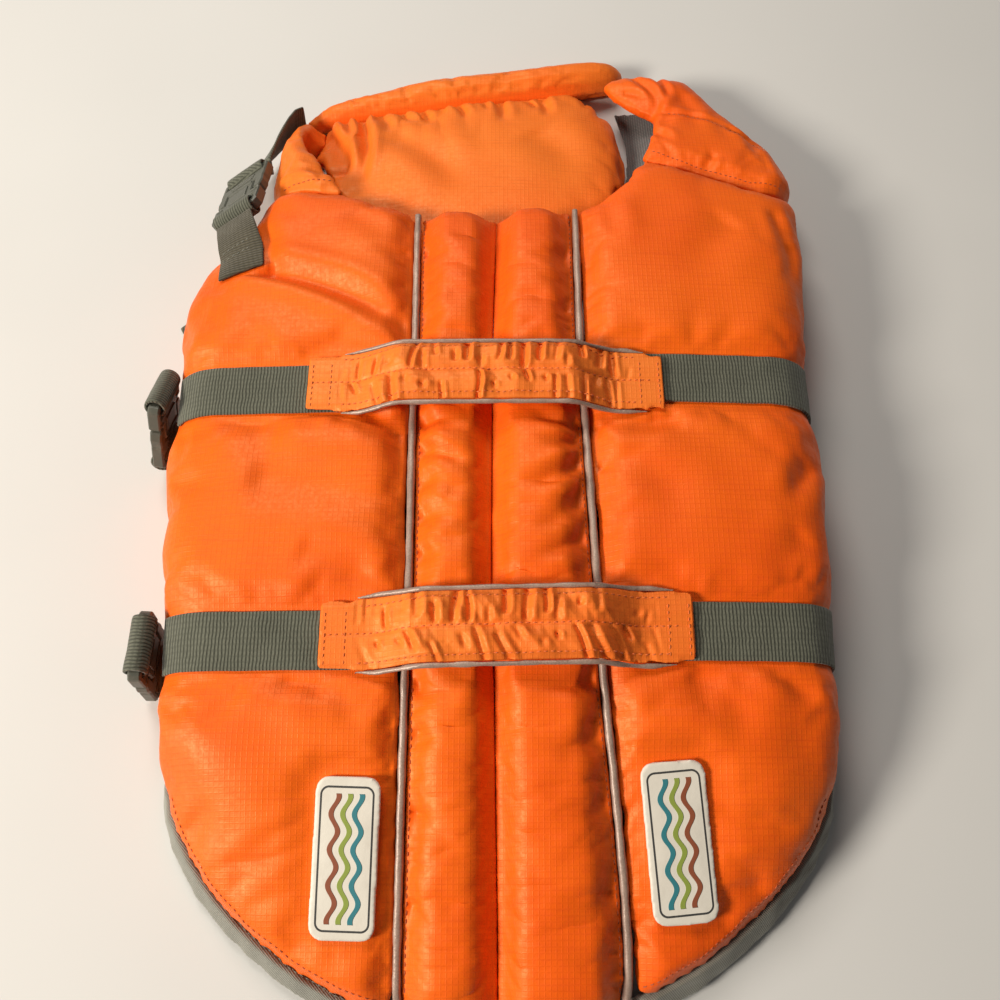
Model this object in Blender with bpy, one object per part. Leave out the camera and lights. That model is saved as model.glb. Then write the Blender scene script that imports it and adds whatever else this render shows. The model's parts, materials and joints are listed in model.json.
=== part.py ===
"""A dog's life jacket, closed and laid on its belly, as the closed solids of the pieces it is sewn from.

Lengths are in millimetres and become metres where a mesh is made. +X is the right side seen from the tail,
+Y runs from the tail to the neck and +Z is up, with the floor at z = 0.

The shell is drawn once as a skin. A point of a cut piece is a point of the flat pattern: over the back it is
simply seen from above, and past the rim it is unrolled outward, so the skin turns down, under and inward
with it.
"""

import math

import bpy
import numpy as np
from mathutils import Vector
from mathutils.geometry import delaunay_2d_cdt

MM = 0.001
CENTRE = (-7.5, 44.0, 0.0)  # the middle of the whole jacket, counted from the middle of its back

# cloth, foam and trim
BODY_PAD = 14.0
WING_PAD = 11.0
SEAM_GAP = 0.3
HEM_TAPE = 9.2  # width of each leg of the binding
TAPE_WALL = 1.0
HEM_CORE = 3.0  # shell and lining pressed together inside the binding
HEM_STACK = HEM_CORE + 2 * (TAPE_WALL + SEAM_GAP)
TAPE_LIP = TAPE_WALL + 0.4
HEM_CLEAR = 0.95  # the tail's hem hangs this far off the floor
HEM_GAP = 0.55
PIPING_WIDE = 3.4
PIPING_SEAT = PIPING_WIDE / 2 + SEAM_GAP
WEBBING_WIDE = 25.4
WEBBING_THICK = 1.5
DENT = WEBBING_THICK + SEAM_GAP  # how deep the webbing presses into the foam
TAIL_TURN_RADIUS = 30.0
OPEN_TAIL_Y = -150.0  # behind this the hem runs across the tail rather than along the side

# height of the skin along the spine: y, z
CROWN = [
    (-250.0, 6.0),
    (-215.0, 17.0),
    (-186.0, 25.5),
    (-150.0, 36.0),
    (-110.0, 46.0),
    (-70.0, 52.5),
    (-20.0, 56.0),
    (60.0, 57.5),
    (120.0, 56.5),
    (150.0, 54.5),
    (175.0, 50.5),
    (200.0, 46.5),
    (240.0, 38.5),
    (290.0, 30.5),
    (330.0, 26.0),
]
SIDE_FALL = 4.0  # how much lower the skin is where its side begins to turn
SIDE_FALL_AT = 130.0

# where the skin turns down: distance from the spine, y, direction of the turn in degrees from straight out,
# share of a full fold (0 is the open tail, 1 a fold onto the floor), angle turned at the end, flap on the floor
RIGHT_RIM = [
    (-14.0, -206.0, -90.0, 0.0, 50.0, 0.0),
    (14.0, -206.0, -90.0, 0.0, 50.0, 0.0),
    (45.0, -196.0, -76.0, 0.0, 50.0, 0.0),
    (74.0, -178.0, -57.0, 0.0, 50.0, 0.0),
    (97.0, -154.0, -37.0, 0.0, 52.0, 0.0),
    (113.0, -130.0, -22.0, 0.0, 56.0, 0.0),
    (122.0, -112.0, -13.0, 0.15, 74.0, 0.0),
    (125.5, -96.0, -7.0, 0.7, 124.0, 0.0),
    (127.5, -81.0, 0.0, 1.0, 180.0, 3.0),
    (128.0, -58.0, 0.0, 1.0, 180.0, 16.0),
    (129.0, -28.0, 0.0, 1.0, 180.0, 34.0),
    (130.0, 12.0, 0.0, 1.0, 180.0, 46.0),
    (130.0, 60.0, 0.0, 1.0, 180.0, 50.0),
    (132.0, 95.0, 0.0, 1.0, 180.0, 50.0),
    (136.0, 130.0, 0.0, 1.0, 180.0, 48.0),
    (140.0, 160.0, 0.0, 1.0, 180.0, 44.0),
    (144.0, 186.0, 4.0, 1.0, 180.0, 30.0),
    (146.0, 203.0, 14.0, 1.0, 180.0, 14.0),
    (139.0, 221.0, 30.0, 1.0, 180.0, 8.0),
    (125.0, 241.0, 38.0, 1.0, 180.0, 6.0),
    (111.0, 264.0, 40.0, 1.0, 180.0, 5.0),
    (97.0, 287.0, 42.0, 1.0, 180.0, 5.0),
    (90.0, 298.0, 43.0, 1.0, 180.0, 5.0),
]
LEFT_RIM = [
    (-14.0, -206.0, -90.0, 0.0, 50.0, 0.0),
    (14.0, -206.0, -90.0, 0.0, 50.0, 0.0),
    (45.0, -198.0, -76.0, 0.0, 50.0, 0.0),
    (73.0, -183.0, -57.0, 0.0, 50.0, 0.0),
    (97.0, -160.0, -40.0, 0.0, 52.0, 0.0),
    (113.5, -134.0, -24.0, 0.0, 56.0, 0.0),
    (123.0, -114.0, -14.0, 0.15, 74.0, 0.0),
    (127.0, -98.0, -7.0, 0.7, 124.0, 0.0),
    (129.0, -83.0, 0.0, 1.0, 180.0, 3.0),
    (130.0, -58.0, 0.0, 1.0, 180.0, 16.0),
    (131.5, -28.0, 0.0, 1.0, 180.0, 34.0),
    (134.5, 12.0, 0.0, 1.0, 180.0, 46.0),
    (136.5, 60.0, 0.0, 1.0, 180.0, 50.0),
    (138.0, 95.0, 0.0, 1.0, 180.0, 44.0),
    (135.0, 120.0, 0.0, 1.0, 180.0, 30.0),
    (124.0, 142.0, 0.0, 1.0, 180.0, 16.0),
    (111.0, 160.0, 0.0, 1.0, 180.0, 10.0),
    (107.0, 187.0, 0.0, 1.0, 180.0, 8.0),
    (108.0, 200.0, 0.0, 1.0, 166.0, 0.0),
    (109.0, 215.0, 0.0, 1.0, 148.0, 0.0),
    (109.0, 236.0, 0.0, 1.0, 130.0, 0.0),
    (105.0, 257.0, 0.0, 1.0, 116.0, 0.0),
    (101.0, 270.0, 0.0, 1.0, 116.0, 0.0),
]
RIM_STEPS = 12

# the three lengthwise seams: y, left piping, centre groove, right piping
SEAM_LINES = [
    (-250.0, -43.0, -0.5, 54.5),
    (-180.0, -41.8, -1.0, 52.0),
    (-130.0, -41.0, -1.8, 48.3),
    (-82.0, -40.5, -2.5, 44.3),
    (-35.0, -40.1, -3.6, 42.7),
    (30.0, -41.0, -3.6, 40.5),
    (85.0, -41.5, -3.4, 39.1),
    (190.0, -43.5, -1.0, 39.8),
]
# the edge of the neck opening, from the left wing's seam to the right one's: x, y
NECKLINE = [
    (-84.0, 183.5),
    (-64.0, 171.5),
    (-43.0, 165.0),
    (0.0, 161.5),
    (41.0, 169.5),
    (60.0, 181.0),
    (71.5, 197.0),
    (80.0, 212.5),
]
RIGHT_WING_SEAM = [(80.0, 212.5), (109.0, 200.5), (132.0, 190.5)]
LEFT_WING_SEAM = [(-84.0, 183.5), (-97.0, 184.5)]
RIGHT_SEAM_Y = 186.0
LEFT_SEAM_Y = 187.0
# the right wing from its front corner back along its inner edge, and the left wing's inner edge: x, y
RIGHT_WING_INNER = [(97.0, 287.0), (74.0, 288.0), (60.0, 281.5), (67.0, 270.0), (78.0, 258.0), (90.0, 252.0)]
RIGHT_WING_NECK = [(90.0, 252.0), (88.5, 239.0), (85.0, 226.0), (80.3, 213.1)]
LEFT_WING_NECK = [(-84.0, 184.1), (-100.0, 208.0), (-115.5, 236.0), (-127.0, 259.0)]
LEFT_WING_FRONT_Y = 261.0

# edge kinds: how far the skin dips at the edge, depth of the inner face there, flat margin, widths of both ramps
EDGES = {
    "seam": (3.6, 6.8, 0.0, 15.0, 20.0),
    "groove": (4.6, 7.8, 0.0, 15.0, 20.0),
    "hem": (0.9, HEM_STACK - 0.6, 0.0, 13.0, 18.0),
    "turned": (3.4, 8.4, 0.0, 9.0, 12.0),
    "gathered": (4.0, 9.0, 0.0, 20.0, 20.0),
    "free": (6.5, 11.5, 0.0, 22.0, 24.0),
}
EDGE_STEP = 13.0
FOLD_STEP = 9.0
ROW_STEP = 24.0
TOP_STEP = 21.0
POINT_CLEARANCE = 4.6
INSETS = {
    "seam": (3.5, 10.0),
    "groove": (3.5, 10.0),
    "hem": (4.5, 12.0),
    "turned": (3.0, 9.0),
    "gathered": (4.0, 12.0),
    "free": (4.0, 12.0),
}

# webbing over the back and under the belly: name, side, y on the back, where it starts beneath the handle
BACK_WEBBING = [
    ("webbing_upper_left", -1, 56.0, 68.0),
    ("webbing_upper_right", 1, 62.0, 58.0),
    ("webbing_lower_left", -1, -64.5, 56.0),
    ("webbing_lower_right", 1, -60.5, 60.0),
]
LEFT_WEBBING_TURN = math.radians(58.0)
BELLY_FALL = 0.03  # how much the belly straps slant toward the tail, per millimetre toward the left
DENT_SHOULDER = 5.0
PAST_HEM = 40.0  # webbing that goes on under a hem keeps pressing this far
PAST_LOOP = 9.0  # and the folded loop at a buckle this far

# the chin float: height of its top by y, and its free edge from the band's left end round to the right
FLOAT_PAD = 20.0
FLOAT_TOP = [(140.0, 32.5), (180.0, 31.0), (215.0, 27.5), (250.0, 22.5), (270.0, 19.5), (300.0, 17.0)]
FLOAT_FALL = 6.0
FLOAT_MIDDLE = -18.0
FLOAT_HALF = 95.0
FLOAT_EDGE = [
    (-106.5, 254.0),
    (-103.0, 240.0),
    (-95.0, 215.0),
    (-84.0, 190.0),
    (-66.0, 166.0),
    (-40.0, 157.0),
    (0.0, 153.0),
    (38.0, 160.0),
    (60.0, 173.0),
    (70.0, 200.0),
    (74.5, 222.0),
    (74.0, 240.0),
    (69.0, 256.0),
    (61.0, 270.0),
]
FLOAT_SEAM_END = 50.0
# the rolled band ahead of it: x, y, half width, half height; it rests on the floor
BAND = [
    (-117.0, 266.5, 3.5, 4.5),
    (-108.0, 269.8, 6.0, 7.0),
    (-97.0, 272.5, 7.8, 8.5),
    (-61.0, 279.5, 9.4, 10.5),
    (-30.0, 285.0, 10.0, 11.0),
    (0.0, 290.3, 10.4, 11.0),
    (37.0, 297.5, 11.0, 11.0),
    (60.0, 303.0, 10.4, 10.0),
    (70.0, 305.5, 8.0, 8.0),
    (76.0, 307.0, 3.5, 5.0),
]
BAND_RING = 10
# the neck lining between the float and the right wing: x, y, z along its two long edges
LINING_LEFT = [(73.6, 214.0, 13.2), (75.3, 238.0, 11.5), (75.0, 262.0, 9.0)]
LINING_RIGHT = [(90.0, 222.0, 27.4), (95.0, 240.0, 23.8), (99.0, 257.0, 19.4)]
LINING_THICK = 1.2

# grab handles: name, x of both ends, y at both ends, how far the gathers run slanted
HANDLES = [
    ("handle_upper", -91.0, 77.0, 57.6, 58.6, 0.0),
    ("handle_lower", -77.0, 83.0, -63.0, -59.0, 0.22),
]
HANDLE_LIFT = 8.5
HANDLE_HALF = (15.0, 14.4)  # half width at the sewn ends and along the grip
HANDLE_THICK = (2.6, 5.6)
HANDLE_SEWN = 20.0
HANDLE_RISE = 26.0
HANDLE_STATIONS = 42
GATHER = 0.55
GATHER_WAVES = (15.3, 23.1)
HANDLE_PIPING = 1.3  # radius
REST = 0.35  # how far a piece sewn onto another stays off it

# side-release buckle in its own plane: across, along; right half of each outline from the webbing's bar out
SOCKET_HALF = [(13.6, -2.0), (16.0, 0.4), (16.0, 11.6), (9.6, 12.4), (9.3, 22.0)]
SOCKET_SLOT = (13.1, 2.0, 6.2)
PRONG_HALF = [
    (10.1, 22.4),
    (10.3, 13.6),
    (13.4, 12.9),
    (15.4, 13.8),
    (16.3, 18.0),
    (15.6, 22.4),
    (16.0, 24.5),
]
PRONG_END = [(16.0, 35.6), (13.6, 38.0)]
PRONG_SLOT = (13.1, 29.8, 34.0)
BUCKLE_LONG = 36.0  # between the two bars
BUCKLE_THICK = 5.6
BUCKLE_ROUND = 0.7
LOOP_INNER = 3.85
LOOP_OUTER = LOOP_INNER + WEBBING_THICK
LOOP_STEPS = 14
TWIST_STEPS = 6
# buckles: name, middle of the first bar, direction to the second bar, direction across, length against usual
BUCKLES = [
    ("neck", (-141.6, 170.0, 41.6), (-0.03, 0.925, -0.375), (0.85, 0.2, 0.49), 1.2),
    ("upper", (-164.6, 60.0, 44.0), (-0.18, -0.38, -0.907), (0.04, 0.92, -0.39), 1.0),
    ("lower", (-157.4, -64.5, 42.0), (-0.13, -0.07, -0.989), (0.0, 1.0, -0.07), 1.0),
]
HOOK_ANGLES = (270.0, 247.0, 222.0, 198.0, 174.0, 150.0, 126.0, 102.0, 78.0, 54.0, 30.0, 8.0)
BELLY_FLOOR_END = -151.0
# the neck strap from the band's end to the buckle: x, y, z, direction of its outer edge, width
NECK_STRAP = [
    ((-118.6, 268.0, 13.2), (-0.1, 0.0, -0.99), 17.0),
    ((-123.5, 263.0, 13.4), (-0.2, -0.1, -0.97), 21.0),
    ((-129.0, 251.5, 15.5), (-0.35, -0.05, -0.93), 25.0),
    ((-134.0, 238.0, 17.5), (-0.5, -0.1, -0.86), WEBBING_WIDE),
    ((-139.5, 224.0, 19.5), (-0.7, -0.15, -0.7), WEBBING_WIDE),
]
# the neck tab: where it is sewn on in the pattern, its direction, its sideways direction, length sewn down
TAB_START = (-131.0, 124.0)
TAB_ALONG = (-0.12, 0.99)
TAB_ACROSS = (0.93, 0.38)
TAB_HALF = 12.0
TAB_SEWN = 13.0
TAB_ARCH = 2.2
# the loose strap end that lies on the floor at the left: corners
LOOSE_END = [(-146.8, 112.0), (-138.0, 136.0), (-170.0, 134.0), (-179.0, 125.0), (-172.0, 114.0)]
# soft labels: name, side, middle in the pattern, tilt, size
LABELS = [
    ("label_left", -1, (-63.0, -150.5), math.radians(2.0)),
    ("label_right", 1, (73.0, -144.5), math.radians(-4.5)),
]
LABEL_LONG = 62.0
LABEL_WIDE = 27.0
LABEL_THICK = 2.0
LABEL_CORNER = 5.5
LABEL_REST = 0.6

COLOURS = {
    "orange ripstop": ((0.86, 0.14, 0.01), 0.55),
    "grey webbing": ((0.13, 0.13, 0.10), 0.8),
    "reflective piping": ((0.35, 0.25, 0.2), 0.45),
    "grey lining": ((0.11, 0.11, 0.11), 0.8),
    "grey buckle plastic": ((0.12, 0.12, 0.1), 0.35),
    "off-white rubber": ((0.78, 0.77, 0.72), 0.5),
}


# ---------------------------------------------------------------- curves through tables
def smooth_rows(rows, steps):
    """Points of a Catmull-Rom curve through the rows, with `steps` points between two of them."""
    rows = np.array(rows, float)
    ends = np.vstack([2 * rows[0] - rows[1], rows, 2 * rows[-1] - rows[-2]])
    out = []
    for i in range(1, len(rows)):
        a, b, c, d = ends[i - 1 : i + 3]
        for t in np.arange(steps) / steps:
            out.append(b + 0.5 * t * (c - a + t * (2 * a - 5 * b + 4 * c - d + t * (3 * (b - c) + d - a))))
    out.append(rows[-1])
    return np.array(out)


def walk(points, step):
    """Even stations along a polyline, about `step` apart, ends kept."""
    points = np.array(points, float)
    run = np.concatenate([[0], np.cumsum(np.linalg.norm(np.diff(points, axis=0), axis=1))])
    count = max(1, round(run[-1] / step))
    at = np.linspace(0, run[-1], count + 1)
    return np.stack([np.interp(at, run, points[:, k]) for k in range(points.shape[1])], 1)


def ramp(x):
    """Rises from 0 to 1 like the side of a pillow: steep at the seam, level at the top."""
    x = np.clip(x, 0, 1)
    return np.sqrt(1 - (1 - x) ** 2)


def ease(x):
    x = np.clip(x, 0, 1)
    return x * x * (3 - 2 * x)


CROWN_CURVE = smooth_rows(CROWN, 8)
SEAM_CURVES = smooth_rows(SEAM_LINES, 8)
NECK_CURVE = smooth_rows(NECKLINE, 8)


def seam_x(y, column):
    """x of the left piping (1), the centre groove (2) or the right piping (3)."""
    return np.interp(y, SEAM_CURVES[:, 0], SEAM_CURVES[:, column])


def neck_y(x):
    return np.interp(x, NECK_CURVE[:, 0], NECK_CURVE[:, 1])


def top_height(points):
    crown = np.interp(points[:, 1], CROWN_CURVE[:, 0], CROWN_CURVE[:, 1])
    return crown - SIDE_FALL * (points[:, 0] / SIDE_FALL_AT) ** 2


def unit(rows):
    rows = np.asarray(rows, float)
    return rows / np.linalg.norm(rows, axis=-1, keepdims=True)


# ---------------------------------------------------------------- the skin
def frame_of(skin, points):
    """Position and outward normal of a skin at pattern points."""
    points = np.asarray(points, float)
    span = 0.4
    dx = skin(points + (span, 0)) - skin(points - (span, 0))
    dy = skin(points + (0, span)) - skin(points - (0, span))
    return skin(points), unit(np.cross(dx, dy))


class Rim:
    """One side's rim, and the section that hangs from each point of it."""

    def __init__(self, rows, side):
        rows = smooth_rows(rows, RIM_STEPS)
        aim = np.radians(rows[:, 2])
        fold, turn, flap = rows[:, 3], np.radians(rows[:, 4].clip(0, 180)), rows[:, 5].clip(0)
        self.side = side
        self.foot = rows[:, :2] * (side, 1)
        self.out = np.stack([side * np.cos(aim), np.sin(aim)], 1)
        height = top_height(self.foot)
        lean = np.arctan(height - top_height(self.foot + self.out))
        radius = TAIL_TURN_RADIUS + (height / (1 + np.cos(lean)) - TAIL_TURN_RADIUS) * fold.clip(0, 1)
        edge = HEM_STACK * np.cos(turn).clip(0) + TAPE_LIP * np.sin(turn) + HEM_CLEAR * np.sin(turn)
        left_over = height - radius * (np.cos(lean) - np.cos(turn)) - edge
        straight = (left_over / np.sin(turn).clip(0.05)).clip(0)
        self.reach = radius * (turn - lean) + straight + flap
        self.rows = np.stack([height, lean, radius, turn, self.reach], 1)
        self.hem = self.foot + self.out * self.reach[:, None]

    def locate(self, points):
        """For each pattern point, its distance past the rim (negative inside) and its row's values."""
        rel = points[:, None, :] - self.foot[None]
        cross = rel[..., 0] * self.out[:, 1] - rel[..., 1] * self.out[:, 0]
        along = (rel * self.out).sum(2)
        low, high = cross[:, :-1], cross[:, 1:]
        share = low / np.where(low == high, 1, low - high)
        past = along[:, :-1] * (1 - share) + along[:, 1:] * share
        past = np.where(low * high <= 0, past, 1e6)
        row = np.abs(past).argmin(1)
        pick = np.arange(len(points))
        share = share[pick, row][:, None]
        past = past[pick, row]
        past = np.where(past > 1e5, -1.0, past)
        blend = lambda table: table[row] * (1 - share) + table[row + 1] * share
        return past, blend(self.foot), blend(self.out), blend(self.rows)

    def skin(self, points):
        points = np.asarray(points, float)
        past, foot, out, rows = self.locate(points)
        height, lean, radius, turn = rows[:, 0], rows[:, 1], rows[:, 2], rows[:, 3]
        out = out / np.linalg.norm(out, axis=1)[:, None]
        angle = np.minimum(lean + past / radius, turn)
        straight = (past - radius * (turn - lean)).clip(0)
        away = radius * (np.sin(angle) - np.sin(lean)) + straight * np.cos(turn)
        drop = radius * (np.cos(lean) - np.cos(angle)) + straight * np.sin(turn)
        turned = np.column_stack([foot + out * away[:, None], (height - drop).clip(0)])
        level = np.column_stack([points, top_height(points)])
        return np.where((past > 0)[:, None], turned, level)

    def frame(self, points):
        return frame_of(self.skin, points)

    def past(self, points):
        return self.locate(np.asarray(points, float))[0]

    def ray(self, y, distances):
        """Pattern points straight out from the rim at y."""
        foot = [np.interp(y, self.foot[:, 1], self.foot[:, k]) for k in (0, 1)]
        out = [np.interp(y, self.foot[:, 1], self.out[:, k]) for k in (0, 1)]
        return [(foot[0] + out[0] * d, foot[1] + out[1] * d) for d in distances]

    def at(self, y, column):
        """height (0), lean (1), radius (2), turn (3) or reach (4) of the row at y."""
        return float(np.interp(y, self.foot[:, 1], self.rows[:, column]))


RIMS = {1: Rim(RIGHT_RIM, 1), -1: Rim(LEFT_RIM, -1)}


# ---------------------------------------------------------------- webbing lanes pressed into the foam
class Lane:
    """A stretch of webbing on one side: distance past the rim it runs from and to, and its y along the way."""

    def __init__(self, side, start, end, y, slant_from=1e6, slant=0.0):
        self.side, self.start, self.end, self.y = side, start, end, y
        self.slant_from, self.slant = slant_from, slant
        self.dent_end = end + (PAST_LOOP if slant_from > 1e5 else PAST_HEM)

    def centre(self, past):
        return self.y + self.slant * (past - self.slant_from).clip(0)

    def dent(self, past, y):
        ends = 1 - ease((self.start - past) / DENT_SHOULDER) - ease((past - self.dent_end) / DENT_SHOULDER)
        sides = 1 - ease((np.abs(y - self.centre(past)) - WEBBING_WIDE / 2 - 0.5) / DENT_SHOULDER)
        return DENT * ends.clip(0) * sides

    def stations(self, start=None, end=None):
        """Distances past the rim: a few on the back, close ones round the fold, a few on the floor."""
        start = self.start if start is None else start
        end = self.end if end is None else end
        fold_end = RIMS[self.side].at(self.y, 2) * math.pi
        marks = list(np.arange(0.0, fold_end, FOLD_STEP)) + [fold_end]
        before = list(np.arange(start, -2.0, 17.0)) if start < -2 else []
        after = list(np.arange(fold_end + 15.0, end, 15.0))
        inner = [m for m in before + marks + after if start + 3 < m < end - 3]
        return np.array([start] + inner + [end])

    def pattern(self, past, offset):
        rim = RIMS[self.side]
        y = self.centre(past) + offset
        foot_x = np.interp(y, rim.foot[:, 1], rim.foot[:, 0])
        return np.column_stack([foot_x + self.side * past, y])


def make_lanes():
    lanes = {}
    for name, side, y, start_x in BACK_WEBBING:
        rim = RIMS[side]
        foot_x = abs(np.interp(y, rim.foot[:, 1], rim.foot[:, 0]))
        radius, lean, reach = rim.at(y, 2), rim.at(y, 1), rim.at(y, 4)
        floor_from = radius * (math.pi - lean)
        if side > 0:
            lanes[name] = Lane(side, start_x - foot_x, reach, y, floor_from, -BELLY_FALL)
            continue
        lanes[name] = Lane(side, start_x - foot_x, radius * (LEFT_WEBBING_TURN - lean), y)
        right = next(row for row in BACK_WEBBING if row[0] == name.replace("left", "right"))
        right_foot = np.interp(right[2], RIMS[1].foot[:, 1], RIMS[1].foot[:, 0])
        floor_y = right[2] - BELLY_FALL * (foot_x + right_foot)
        floor_reach = np.interp(floor_y, rim.foot[:, 1], rim.reach)
        lanes[name + "_under"] = Lane(side, floor_from - 16.0, floor_reach, floor_y, floor_from, BELLY_FALL)
    return lanes


LANES = make_lanes()


def dents(side, points):
    past = RIMS[side].past(points)
    total = np.zeros(len(points))
    for lane in LANES.values():
        if lane.side == side:
            total = np.maximum(total, lane.dent(past, points[:, 1]))
    return total


# ---------------------------------------------------------------- meshes and materials
def material(name):
    found = bpy.data.materials.get(name)
    if found:
        return found
    made = bpy.data.materials.new(name)
    made.use_nodes = True
    shader = made.node_tree.nodes["Principled BSDF"]
    colour, rough = COLOURS[name]
    shader.inputs["Base Color"].default_value = (*colour, 1.0)
    shader.inputs["Roughness"].default_value = rough
    made.diffuse_color = (*colour, 1.0)
    return made


def add_object(name, points, faces, colour):
    mesh = bpy.data.meshes.new(name)
    mesh.from_pydata(((np.asarray(points) - CENTRE) * MM).tolist(), [], faces)
    mesh.materials.append(material(colour))
    mesh.update()
    made = bpy.data.objects.new(name, mesh)
    bpy.context.collection.objects.link(made)
    return made


def grid_solid(name, outer, inner, colour):
    """A closed solid between two grids of points, rows by columns, outer face first."""
    rows, columns = outer.shape[:2]
    points = np.concatenate([outer.reshape(-1, 3), inner.reshape(-1, 3)])
    base = rows * columns
    at = lambda r, c: r * columns + c
    faces = []
    for r in range(rows - 1):
        for c in range(columns - 1):
            quad = (at(r, c), at(r, c + 1), at(r + 1, c + 1), at(r + 1, c))
            faces.append(quad)
            faces.append(tuple(base + i for i in reversed(quad)))
    loop = [at(0, c) for c in range(columns)] + [at(r, columns - 1) for r in range(1, rows)]
    loop += [at(rows - 1, c) for c in range(columns - 2, -1, -1)] + [at(r, 0) for r in range(rows - 2, 0, -1)]
    for a, b in zip(loop, loop[1:] + loop[:1]):
        faces.append((b, a, base + a, base + b))
    return add_object(name, points, faces, colour)


def loft(name, sections, colour, closed=False):
    """A tube through rings of points, each ring seen counterclockwise when looking back along the path."""
    sections = np.asarray(sections, float)
    count, ring = sections.shape[:2]
    faces = []
    for s in range(count if closed else count - 1):
        nxt = (s + 1) % count
        for k in range(ring):
            j = (k + 1) % ring
            faces.append((s * ring + k, s * ring + j, nxt * ring + j, nxt * ring + k))
    if not closed:
        faces.append(tuple(range(ring - 1, -1, -1)))
        faces.append(tuple((count - 1) * ring + k for k in range(ring)))
    return add_object(name, sections.reshape(-1, 3), faces, colour)


# ---------------------------------------------------------------- padded pieces from their flat outlines
def distance_to(points, line):
    line = np.asarray(line, float)
    a, b = line[:-1], line[1:]
    along = b - a
    t = ((points[:, None] - a) * along).sum(2) / np.maximum((along * along).sum(1), 1e-9)
    near = a + np.clip(t, 0, 1)[..., None] * along
    return np.linalg.norm(points[:, None] - near, axis=2).min(1)


def is_inside(points, loop):
    x, y = points[:, 0, None], points[:, 1, None]
    x0, y0 = loop[:, 0], loop[:, 1]
    x1, y1 = np.roll(x0, -1), np.roll(y0, -1)
    crosses = (y0 > y) != (y1 > y)
    at = x0 + (y - y0) * (x1 - x0) / np.where(y1 == y0, 1e-9, y1 - y0)
    return (crosses & (x < at)).sum(1) % 2 == 1


def outline_loop(runs):
    """The runs' points as one counterclockwise loop."""
    loop = np.concatenate([np.asarray(points, float)[:-1] for _, points in runs])
    nxt = np.roll(loop, -1, axis=0)
    area = (loop[:, 0] * nxt[:, 1] - nxt[:, 0] * loop[:, 1]).sum()
    return loop if area > 0 else loop[::-1]


def inset_points(runs, distances):
    found = []
    for kind, points in runs:
        points = np.asarray(points, float)
        along = np.gradient(points, axis=0)
        across = np.stack([-along[:, 1], along[:, 0]], 1)
        across /= np.linalg.norm(across, axis=1)[:, None]
        for distance in distances[kind]:
            found += [points + across * distance, points - across * distance]
    return np.concatenate(found)


def lattice(loop, side):
    """Inner points: a square net on the back, and rows that follow the rim where the skin is rolled."""
    low, high = loop.min(0), loop.max(0)
    xs = np.arange(low[0], high[0], TOP_STEP)
    ys = np.arange(low[1], high[1], TOP_STEP)
    top = np.array([(x, y) for x in xs for y in ys])
    rim = RIMS[side]
    top = top[rim.past(top) < -4.0]
    rolled = []
    for row in walk(rim.foot, ROW_STEP):
        near = np.linalg.norm(rim.foot - row, axis=1).argmin()
        reach = rim.reach[near]
        for past in np.arange(0.0, reach, FOLD_STEP if rim.rows[near, 3] > 2 else 2 * FOLD_STEP):
            rolled.append(rim.foot[near] + rim.out[near] * past)
    return np.concatenate([top, np.array(rolled)])


def lane_lines(side, loop):
    """The edges and the middle of each webbing lane that crosses the piece, as lines the mesh must follow."""
    lines = []
    half = WEBBING_WIDE / 2 + 0.5
    border = np.vstack([loop, loop[:1]])
    for lane in LANES.values():
        if lane.side != side:
            continue
        for offset in (-half, 0.0, half):
            line = lane.pattern(lane.stations(), offset)
            line = line[is_inside(line, loop)]
            lines.append(line[distance_to(line, border) > 3.0])
    return lines


def lane_shoulders(side):
    found = [np.zeros((0, 2))]
    away = WEBBING_WIDE / 2 + 0.5 + DENT_SHOULDER
    for lane in LANES.values():
        if lane.side == side:
            found += [lane.pattern(lane.stations(), offset) for offset in (-away, away)]
    return np.concatenate(found)


def thin_out(fixed, candidates, clearance):
    """Keeps the candidates that stay clear of the fixed points and of each other."""
    kept = [tuple(p) for p in fixed]
    for p in candidates:
        gaps = np.array(kept) - p
        if (gaps * gaps).sum(1).min() > clearance * clearance:
            kept.append(tuple(p))
    return np.array(kept)


def pad_offsets(points, runs, thick, dent):
    dip = np.zeros(len(points))
    depth = np.full(len(points), thick)
    for kind, line in runs:
        edge_dip, edge_depth, margin, dip_wide, depth_wide = EDGES[kind]
        away = distance_to(points, line) - margin
        dip = np.maximum(dip, edge_dip * (1 - ramp(away / dip_wide)))
        depth = np.minimum(depth, edge_depth + (thick - edge_depth) * ramp(away / depth_wide))
    dip = dip + dent
    return dip, np.maximum(depth, dip + HEM_CORE)


def flat_mesh(loop, lines, inner):
    """Triangles over the outline, as points and index triples; edges follow the outline and the inner lines."""
    everything = np.concatenate([loop, *lines, inner])
    border = [(i, (i + 1) % len(loop)) for i in range(len(loop))]
    first = len(loop)
    for line in lines:
        border += [(first + i, first + i + 1) for i in range(len(line) - 1)]
        first += len(line)
    made = delaunay_2d_cdt([Vector(p) for p in everything], border, [], 1, 1e-5)
    return np.array([tuple(v) for v in made[0]]), [tuple(f) for f in made[2]]


def solid_from_flat(name, points, faces, loop_count, outer, inner, colour):
    """Outer skin, inner skin and the wall along the outline, whose points come first."""
    base = len(points)
    sides = [tuple(f) for f in faces] + [tuple(base + i for i in reversed(f)) for f in faces]
    for i in range(loop_count):
        j = (i + 1) % loop_count
        sides.append((j, i, base + i, base + j))
    return add_object(name, np.concatenate([outer, inner]), sides, colour)


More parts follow.
